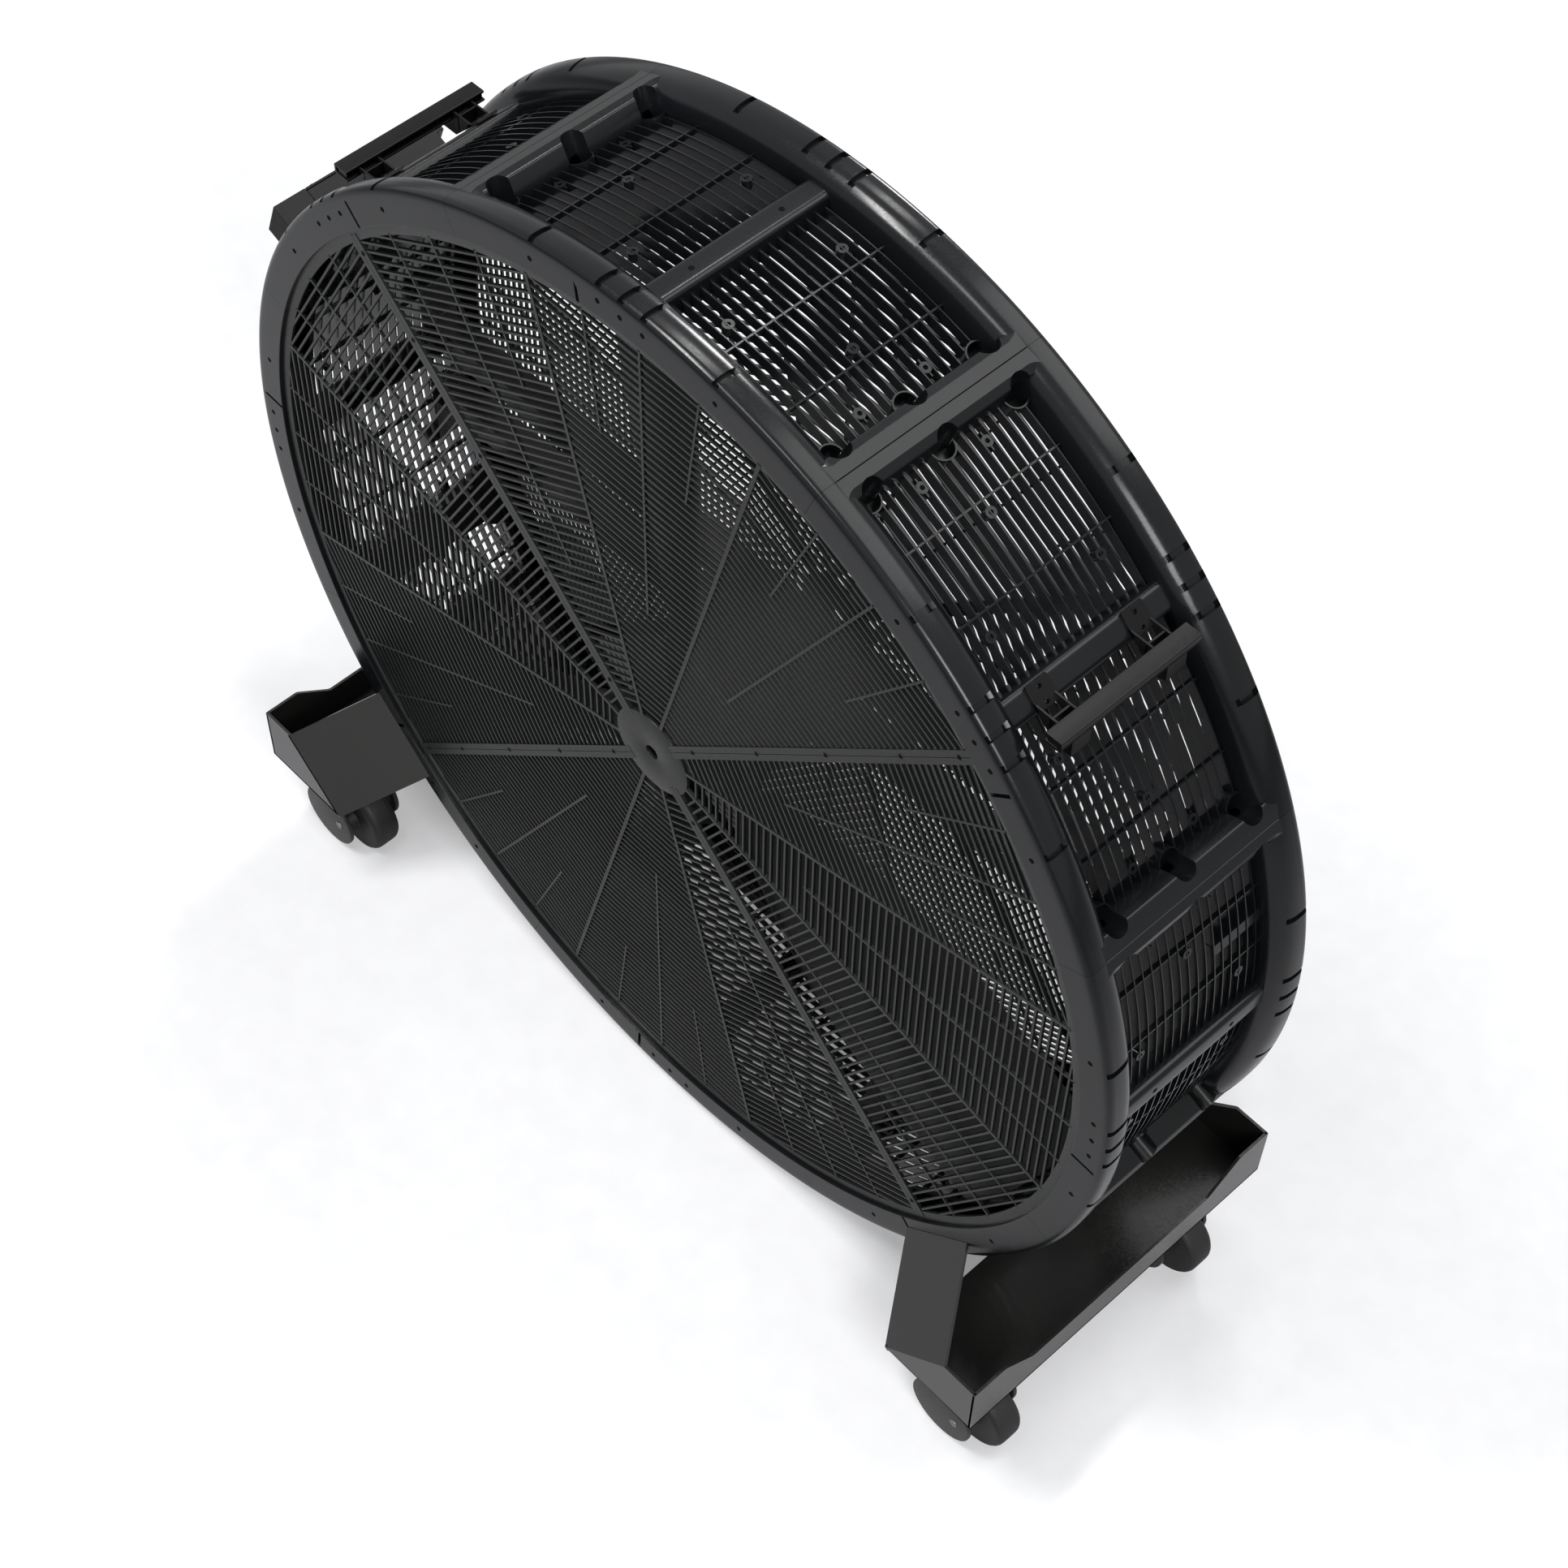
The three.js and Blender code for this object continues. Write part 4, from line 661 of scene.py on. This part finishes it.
def blade_skin():
    """A blade along +X as a closed skin: across it s goes from -1/2 to 1/2, and along it u
    from root to tip. The chord widens and the pitch falls with u as on the solid, with the
    widening eased where it ends by (0.3 - |g - 1|)^2 / 1.2, the camber is
    0.06 chord (1 - 4 s^2), and the edges thin to half a sheet."""
    r = np.concatenate([[BLADE_ROOT, 60, 84], np.linspace(BLADE_PAD_END, BLADE_TIP, 44)])[:, None]
    u = np.clip(2 / 8 + (r - BLADE_OPEN) / (BLADE_TIP - BLADE_OPEN) * 6 / 8, 0, 1)
    opening = np.clip((r - BLADE_PAD_END) / (BLADE_OPEN - BLADE_PAD_END), 0, 1)
    opening = opening * opening * (3 - 2 * opening)
    grow = (r - BLADE_PAD_END) / BLADE_WIDEN
    grow = np.clip(grow, 0, 1) - np.maximum(0.3 - np.abs(grow - 1), 0) ** 2 / 1.2
    chord = 50 + 155 * (0.75 * grow + 0.25 * u * opening)
    pitch = np.radians(opening * (30 - 11 * u))
    s = np.sin(np.linspace(-np.pi / 2, np.pi / 2, 31))[None] / 2
    t = s * chord * np.cos(pitch)
    camber = opening * 0.06 * chord * (1 - 4 * s * s)
    y = BLADE_FRONT + s * chord * np.sin(pitch) - camber
    corner = 1 - 0.012 * np.clip((r - 500) / 31, 0, 1) * (np.abs(2 * s) ** 8)
    x = np.sqrt(np.maximum((r * corner) ** 2 - t * t * opening, 1))
    edge = 0.9 * np.sqrt(np.maximum(1 - (2 * s) ** 12, 0.0)) + 0.1
    front = np.stack([x, y + 2 - 2 * edge, t], -1)
    back = np.stack([x, y + 2 + 2 * edge, t], -1)[:, ::-1]
    return carried(np.concatenate([front, back], 1))


blade = blade_skin()
for k in range(3):
    angle = BLADE_REST + 120 * k
    piece(f"pressed_blade_{k + 1}", [turn(blade, angle)], blade_coat, "rotor",
          [f"fan_blade_{k + 1}"], angle=50)
hub_outline = fillet(
    [(9.8, -71.7), (80, -71.7), (80, -63.7), (34, -63.7), (24, -58), (24, -49.7), (9.8, -49.7)],
    [0, 1, 1, 3, 2, 1, 0], steps=3)
piece("blade_hub", [lathe(hub_outline, 72)], turned_steel, "rotor", ["fan_hub"])
cap_outline = fillet([(9.8, -76.3), (30, -76.3), (30, -80), (22, -85.3), (9.8, -85.3)],
                     [0, 0.6, 4, 3, 0])
piece("shaft_cap", [lathe(cap_outline, 48)], nylon_black, "rotor", ["hub_cap"])
blade_bolts = []
for k in range(3):
    for r, t in ((48, 0), (70, -14), (70, 14)):
        head = move(hexagon(5.5, -80, -76, (0, 2, 1)), x=r, z=t)
        blade_bolts.append(turn(head, BLADE_REST + 120 * k))
piece("blade_bolts", blade_bolts, black_zinc, "rotor", (), bevel=0.5)

# ------------------------------------------------------------------ motor
# A flat motor: finned aluminium shell in black enamel between two end bells, held by four
# long bolts. The stator, core, shaft and bearings inside it stay as the CAD has them. The
# enamel is sprayed and stoved with a ripple of about 2 mm, drawn at 4 mm, under a thin
# clear skin, which gives the eye a smooth and fairly glossy black.
enamel_black = finish_material(
    "black_enamel", "#0d0d0e", "#121213", (0.25, 0.36), 0.004, 0.00004, ior=1.5, coat=0.1)
SHELL_STEPS, SHELL_HALF = 288, 30.0
SHELL_FIN, SHELL_GROOVE, SHELL_BORE = 82.0, 78.5, 74.0
step = np.arange(SHELL_STEPS)
a = step * 360 / SHELL_STEPS
fins = np.where(step % 8 < 5, SHELL_FIN, SHELL_GROOVE)
bore = np.full(SHELL_STEPS, SHELL_BORE)
shell = np.stack([polar(fins, a, -SHELL_HALF), polar(fins, a, SHELL_HALF),
                  polar(bore, a, SHELL_HALF), polar(bore, a, -SHELL_HALF)], 1)
piece("finned_shell", [carried(shell, closed=True)], enamel_black, "frame", ["motor_shell"])
BELL_OUTLINE = fillet(
    [(20.3, 30.3), (82, 30.3), (82, 35.3), (74, 39.3), (44, 41.3), (36, 44.3), (11.5, 44.3),
     (11.5, 39.6), (20.3, 39.6)], [0, 0.6, 2, 3, 3, 1.5, 0.5, 0, 0], steps=3)
for direction, name in ((-1, "front"), (1, "rear")):
    bell = lathe(BELL_OUTLINE * [1, direction], 72)
    piece(f"end_bell_{name}", [bell], enamel_black, "frame", [f"motor_{name}_bell"])
motor_bolts = []
for k in range(4):
    motor_bolts.append(turn(move(hexagon(5, -41.5, -37, (0, 2, 1)), x=66), 45 + 90 * k))
piece("motor_bolts", motor_bolts, black_zinc, "frame", (), bevel=0.5)
# Laminated steel: thin sheets stacked along the shaft, drawn as fine lines across Y, which
# give the eye a grey metal with a grain. It lies hidden inside the motor.
laminated_steel = finish_material(
    "laminated_steel", "#5d5e60", "#6f7072", (0.35, 0.5), 0.001, 0.00004, metallic=1.0,
    streak=(1, 40, 1))
for name in ("motor_stator", "motor_rotor_core"):
    keep_node(name, laminated_steel)
for name in ("motor_shaft", "bearing_front", "bearing_rear"):
    keep_node(name, turned_steel)

# ------------------------------------------------------------------ motor carrier
# A square plate behind the motor on two square steel tubes across the drum, all in black
# powder coat, with nuts on the four studs that hold the plate. The smooth coat has an
# orange peel of about 1 mm, drawn at 3 mm so that it shows, which gives the eye a charcoal
# with a clear sheen where it faces a lamp.
powder_coat = finish_material(
    "black_powder_coat", "#151514", "#191918", (0.16, 0.24), 0.003, 0.00003, ior=1.5, shine=0.4)
for name in ("motor_plate", "support_tube_upper", "support_tube_lower"):
    keep_node(name, powder_coat, 0.8)
nuts = []
for x in (-72, 72):
    for z in (-45, 45):
        nuts.append(move(hexagon(6, 41.2, 44.3, (0, 2, 1)), x=x, z=z))
piece("carrier_nuts", nuts, black_zinc, "frame", (), bevel=0.5)

# ------------------------------------------------------------------ troughs of the stand
# Two open troughs folded from 3 mm steel sheet and powder coated: a floor, a low outer
# wall with a dip, and end caps whose gussets are folded back and screwed to the drum.
LEG_OUTER, LEG_INNER = 551.4, 432.6
LEG_LOW, LEG_TOP = 115 - AXIS_HEIGHT, 191.6 - AXIS_HEIGHT
LEG_END = 210.5
SHEET = 3.0
DIP_LOW, DIP_FROM, DIP_TO = LEG_LOW + 45, 168.0, 126.0
CAP_RUN = 41.8
GUSSET_SEAT = RIM_RADIUS - 23.3


def gusset(side, low, high):
    """A gusset between the ends low and high of the fold line t = (x + z) / sqrt 2. Across
    it runs w = (x - z) / sqrt 2, from the cap's slanted edge to the rim's flange, one
    sheet thick, so x = (w + t) / sqrt 2 and z = (t - w) / sqrt 2."""
    fold = (LEG_OUTER - CAP_RUN - LEG_TOP) * np.sqrt(0.5)
    flange = side * (HALF_DEPTH + 0.3)
    w = np.array([fold, fold + SHEET * np.sqrt(2), GUSSET_SEAT + SHEET * np.sqrt(2), GUSSET_SEAT])
    y = np.array([side * LEG_END, side * LEG_END, flange, flange])
    t = np.array([low, high])[:, None]
    x, z = (w + t) * np.sqrt(0.5), (t - w) * np.sqrt(0.5)
    return carried(np.stack([x, np.broadcast_to(y, x.shape), z], -1))


def trough_parts():
    """The right-hand trough: its floor, its outer wall with the dip, and at each end a cap
    with a slanted edge and the gusset that is folded from it."""
    wall = [(-LEG_END, LEG_LOW), (LEG_END, LEG_LOW), (LEG_END, LEG_TOP), (DIP_FROM, LEG_TOP),
            (DIP_TO, DIP_LOW), (-DIP_TO, DIP_LOW), (-DIP_FROM, LEG_TOP), (-LEG_END, LEG_TOP)]
    wall = fillet(wall, [0.01, 0.01, 1, 3, 3, 3, 3, 1], steps=3)
    parts = [blocks([[LEG_INNER, -LEG_END, LEG_LOW]], [[LEG_OUTER, LEG_END, LEG_LOW + SHEET]]),
             prism(wall, LEG_OUTER - SHEET, LEG_OUTER, (1, 2, 0))]
    cap_top = LEG_OUTER - CAP_RUN
    cap = [(LEG_INNER, LEG_LOW), (LEG_OUTER - 0.6, LEG_LOW), (LEG_OUTER - 0.6, LEG_TOP),
           (cap_top, LEG_TOP)]
    low, high = (LEG_INNER + LEG_LOW) * np.sqrt(0.5), (cap_top + LEG_TOP) * np.sqrt(0.5)
    for side in (-1, 1):
        y0, y1 = sorted((side * LEG_END, side * (LEG_END - SHEET)))
        parts += [prism(cap, y0, y1, (0, 2, 1)), gusset(side, low, high)]
    return parts


trough = trough_parts()
for name, parts in (("right", trough), ("left", [mirror(p, 0) for p in trough])):
    piece(f"sheet_trough_{name}", parts, powder_coat, "frame", [f"leg_trough_{name}"],
          turned=False, bevel=0.5)

# ------------------------------------------------------------------ casters
# Four swivel casters: a zinc-plated plate with its ball race, a moulded fork with round
# cheeks, a steel axle, and a black rubber wheel with rounded shoulders.
# Zinc plating has spangles under a millimetre, drawn at 3 mm so that they show: a cool grey
# metal with mild mottling.
zinc_plate = finish_material(
    "zinc_plated_steel", "#6b6c6d", "#7d7e80", (0.3, 0.45), 0.003, 0.00003, patch=0.03,
    metallic=1.0)
# Moulded polyamide has a grain of about 0.2 mm, drawn at 2 mm: a warm near-black, a little
# duller than the drum.
moulded_cheek = finish_material(
    "moulded_polyamide", "#1f1e1d", "#242322", (0.36, 0.48), 0.002, 0.00004)
# Rubber has a matt moulded skin with a grain of about 0.2 mm, drawn at 1.5 mm: a soft black
# with no clear reflection.
tyre_rubber = finish_material(
    "tyre_rubber", "#101010", "#151514", (0.5, 0.65), 0.0015, 0.00008, patch=0.05, ior=1.52)
AXLE_X, AXLE_HIGH = 26.0, 47.5
CHEEK_X, CHEEK_RADIUS = 7.5, 39.4
CHEEK_IN, CHEEK_OUT = 30.0, 35.0


def caster_fork():
    """Two round cheeks, each with a neck above it, and the crown that joins the necks. A neck
    is 0.4 mm thinner on each side, so that its faces don't lie in the cheek's faces."""
    parts = []
    neck = [(CHEEK_X - 24, 67.5), (CHEEK_X + 24, 67.5), (CHEEK_X + 26, 102), (CHEEK_X - 26, 102)]
    for side in (-1, 1):
        y0, y1 = sorted((side * CHEEK_OUT, side * CHEEK_IN))
        disc = fillet([(0.01, y0), (CHEEK_RADIUS, y0), (CHEEK_RADIUS, y1), (0.01, y1)],
                      [0, 1.2, 1.2, 0], steps=3)
        parts.append(lathe(disc, 48, centre=(CHEEK_X, 0, AXLE_HIGH)))
        parts.append(prism(neck, y0 + 0.4, y1 - 0.4, (0, 2, 1)))
    crown = fillet([(-23.5, -35), (38.5, -35), (38.5, 35), (-23.5, 35)], 6)
    parts.append(prism(crown, 99, 103, (0, 1, 2)))
    return parts


def caster_wheel():
    """A wheel turned from its half section: a hub that stands out on both sides, a web, and
    a tread with rounded shoulders."""
    section = [(5.3, -29.7), (13, -29.7), (13, -16.5), (40, -16.5), (47.5, -14.5), (47.5, 14.5),
               (40, 16.5), (13, 16.5), (13, 29.7), (5.3, 29.7)]
    section = fillet(section, [0.4, 1, 1.5, 4, 6.5, 6.5, 4, 1.5, 1, 0.4], steps=4)
    return lathe(section, 56, centre=(AXLE_X, 0, AXLE_HIGH))


fork, wheel = caster_fork(), caster_wheel()
axle = fillet([(0.01, -36), (5, -36), (5, 36), (0.01, 36)], [0, 0.8, 0.8, 0])
axle = lathe(axle, 24, centre=(AXLE_X, 0, AXLE_HIGH))
for corner, x, y in (("front_right", 492, -159), ("rear_right", 492, 124),
                     ("front_left", -492, -159), ("rear_left", -492, 124)):
    place = (x, y, 0)
    piece(f"caster_cheeks_{corner}", fork, moulded_cheek, f"swivel_{corner}",
          [f"caster_fork_{corner}"], turned=False, centre=place)
    piece(f"rubber_wheel_{corner}", [wheel], tyre_rubber, f"wheel_{corner}",
          [f"caster_wheel_{corner}"], turned=False, centre=place)
    keep_node(f"caster_plate_{corner}", zinc_plate, 0.6)
    piece(f"wheel_axle_{corner}", [axle], zinc_plate, f"swivel_{corner}",
          [f"caster_axle_{corner}"], turned=False, centre=place)

# ------------------------------------------------------------------ floor, lamps, camera
# A pale studio floor that stays white for the camera but keeps the soft shadow, a bright
# world, three narrow lamps that draw the rims' highlights, three soft boxes, and a camera
# matched to the photograph.
FLOOR_REACH = 14.0
floor_mesh = bpy.data.meshes.new("studio_floor")
corners = np.array([[-1, -1, 0], [1, -1, 0], [1, 1, 0], [-1, 1, 0]]) * FLOOR_REACH
floor_mesh.from_pydata(corners, [], [(0, 1, 2, 3)])
floor = bpy.data.objects.new("studio_floor", floor_mesh)
bpy.context.scene.collection.objects.link(floor)

# Matt studio paper. What the camera sees of it also glows a little, and more the further it
# lies from the fan, so that it runs into the white background without a horizon.
paper = bpy.data.materials.new("studio_paper")
paper.use_nodes = True
tree = paper.node_tree
tree.nodes.clear()
rays = add_node(tree, "ShaderNodeLightPath")
place = add_node(tree, "ShaderNodeTexCoord").outputs["Object"]
mottle = add_node(tree, "ShaderNodeTexNoise", {"Vector": place, "Scale": 30.0, "Detail": 4.0})
tint = add_node(tree, "ShaderNodeMix", {
    0: mottle.outputs[0], 6: linear("#b4b4b6"), 7: linear("#bebebf")}, data_type="RGBA")
matt = add_node(tree, "ShaderNodeBsdfDiffuse", {"Color": tint.outputs[2], "Roughness": 0.5})
away = add_node(tree, "ShaderNodeVectorMath", {0: place}, operation="LENGTH")
fill = add_node(tree, "ShaderNodeMapRange", {
    "Value": away.outputs["Value"], "From Min": 1.3, "From Max": 4.5,
    "To Min": 0.23, "To Max": 1.1})
seen = add_node(tree, "ShaderNodeMath", {
    0: rays.outputs["Is Camera Ray"], 1: fill.outputs[0]}, operation="MULTIPLY")
glow = add_node(tree, "ShaderNodeEmission", {
    "Color": linear("#ffffff"), "Strength": seen.outputs[0]})
both = add_node(tree, "ShaderNodeAddShader", {0: matt.outputs[0], 1: glow.outputs[0]})
add_node(tree, "ShaderNodeOutputMaterial", {"Surface": both.outputs[0]})
floor_mesh.materials.append(paper)

# The world is white for the camera and in reflections, and a soft grey light otherwise.
world = bpy.data.worlds.new("studio")
bpy.context.scene.world = world
world.use_nodes = True
tree = world.node_tree
tree.nodes.clear()
rays = add_node(tree, "ShaderNodeLightPath")
direct = add_node(tree, "ShaderNodeMath", {
    0: rays.outputs["Is Camera Ray"], 1: rays.outputs["Is Glossy Ray"]}, operation="MAXIMUM")
white = add_node(tree, "ShaderNodeMath", {
    0: direct.outputs[0], 1: rays.outputs["Is Transmission Ray"]}, operation="MAXIMUM")
ambient = add_node(tree, "ShaderNodeBackground", {"Color": linear("#eef1f6"), "Strength": 0.3})
plain = add_node(tree, "ShaderNodeBackground", {"Color": linear("#ffffff"), "Strength": 1.0})
pick = add_node(tree, "ShaderNodeMixShader", {
    0: white.outputs[0], 1: ambient.outputs[0], 2: plain.outputs[0]})
add_node(tree, "ShaderNodeOutputWorld", {"Surface": pick.outputs[0]})


def set_up(thing, right, up, back, at):
    """Puts a lamp or the camera at a point, with its three axes, and looking against back."""
    axes = np.column_stack([right, up, back, at])
    thing.matrix_world = Matrix(np.vstack([axes, [0, 0, 0, 1]]).tolist())
    bpy.context.scene.collection.objects.link(thing)


def soft_lamp(name, at, aim, wide, long, watts):
    """An oblong lamp at a point, turned so that it shines at another."""
    data = bpy.data.lights.new(name, "AREA")
    data.shape = "RECTANGLE"
    data.size = wide
    data.size_y = long
    data.energy = watts
    back = np.array(at, float) - np.array(aim, float)
    back /= np.linalg.norm(back)
    side = np.cross([0.0, 1.0, 0.001], back)
    side /= np.linalg.norm(side)
    set_up(bpy.data.objects.new(name, data), side, np.cross(back, side), back, at)


soft_lamp("strip_front", (-0.85, -0.95, 3.25), (0.05, 0, 1.15), 0.3, 1.3, 90)
soft_lamp("strip_above", (-0.82, 1.0, 3.25), (0.05, 0, 1.15), 0.3, 0.5, 12)
soft_lamp("front_softbox", (0.15, -1.25, 3.3), (0.2, 0, 1.1), 1.1, 0.5, 26)
soft_lamp("strip_rear", (-0.9, 2.0, 2.05), (0.07, -0.1, 1.15), 0.5, 0.5, 36)
soft_lamp("right_front_softbox", (2.2, -1.1, 2.45), (0.3, 0, 0.9), 1.1, 1.1, 80)
soft_lamp("overhead_softbox", (0.9, 1.35, 3.4), (0.2, 0, 0.8), 1.8, 2.0, 55)

# The camera stands high at the front right, with its place and its three angles in degrees
# worked out from the photograph.
AZIMUTH, ELEVATION, ROLL = np.radians([45.5676, 54.7207, 1.5582])
CAMERA_AT = np.array([1.2739 + SIDE_SHIFT / 1000, -1.1963, 2.9001])
level = np.array([np.cos(AZIMUTH), np.sin(AZIMUTH), 0.0])
back = np.array([np.sin(AZIMUTH) * np.cos(ELEVATION), -np.cos(AZIMUTH) * np.cos(ELEVATION),
                 np.sin(ELEVATION)])
rise = np.cross(back, level)
right = np.cos(ROLL) * level + np.sin(ROLL) * rise
upward = -np.sin(ROLL) * level + np.cos(ROLL) * rise
camera_data = bpy.data.cameras.new("camera")
camera_data.sensor_width = 36.0
camera_data.lens = 69.951
camera = bpy.data.objects.new("camera", camera_data)
set_up(camera, right, upward, back, CAMERA_AT)
bpy.context.scene.camera = camera
bpy.context.scene.view_settings.view_transform = "Standard"
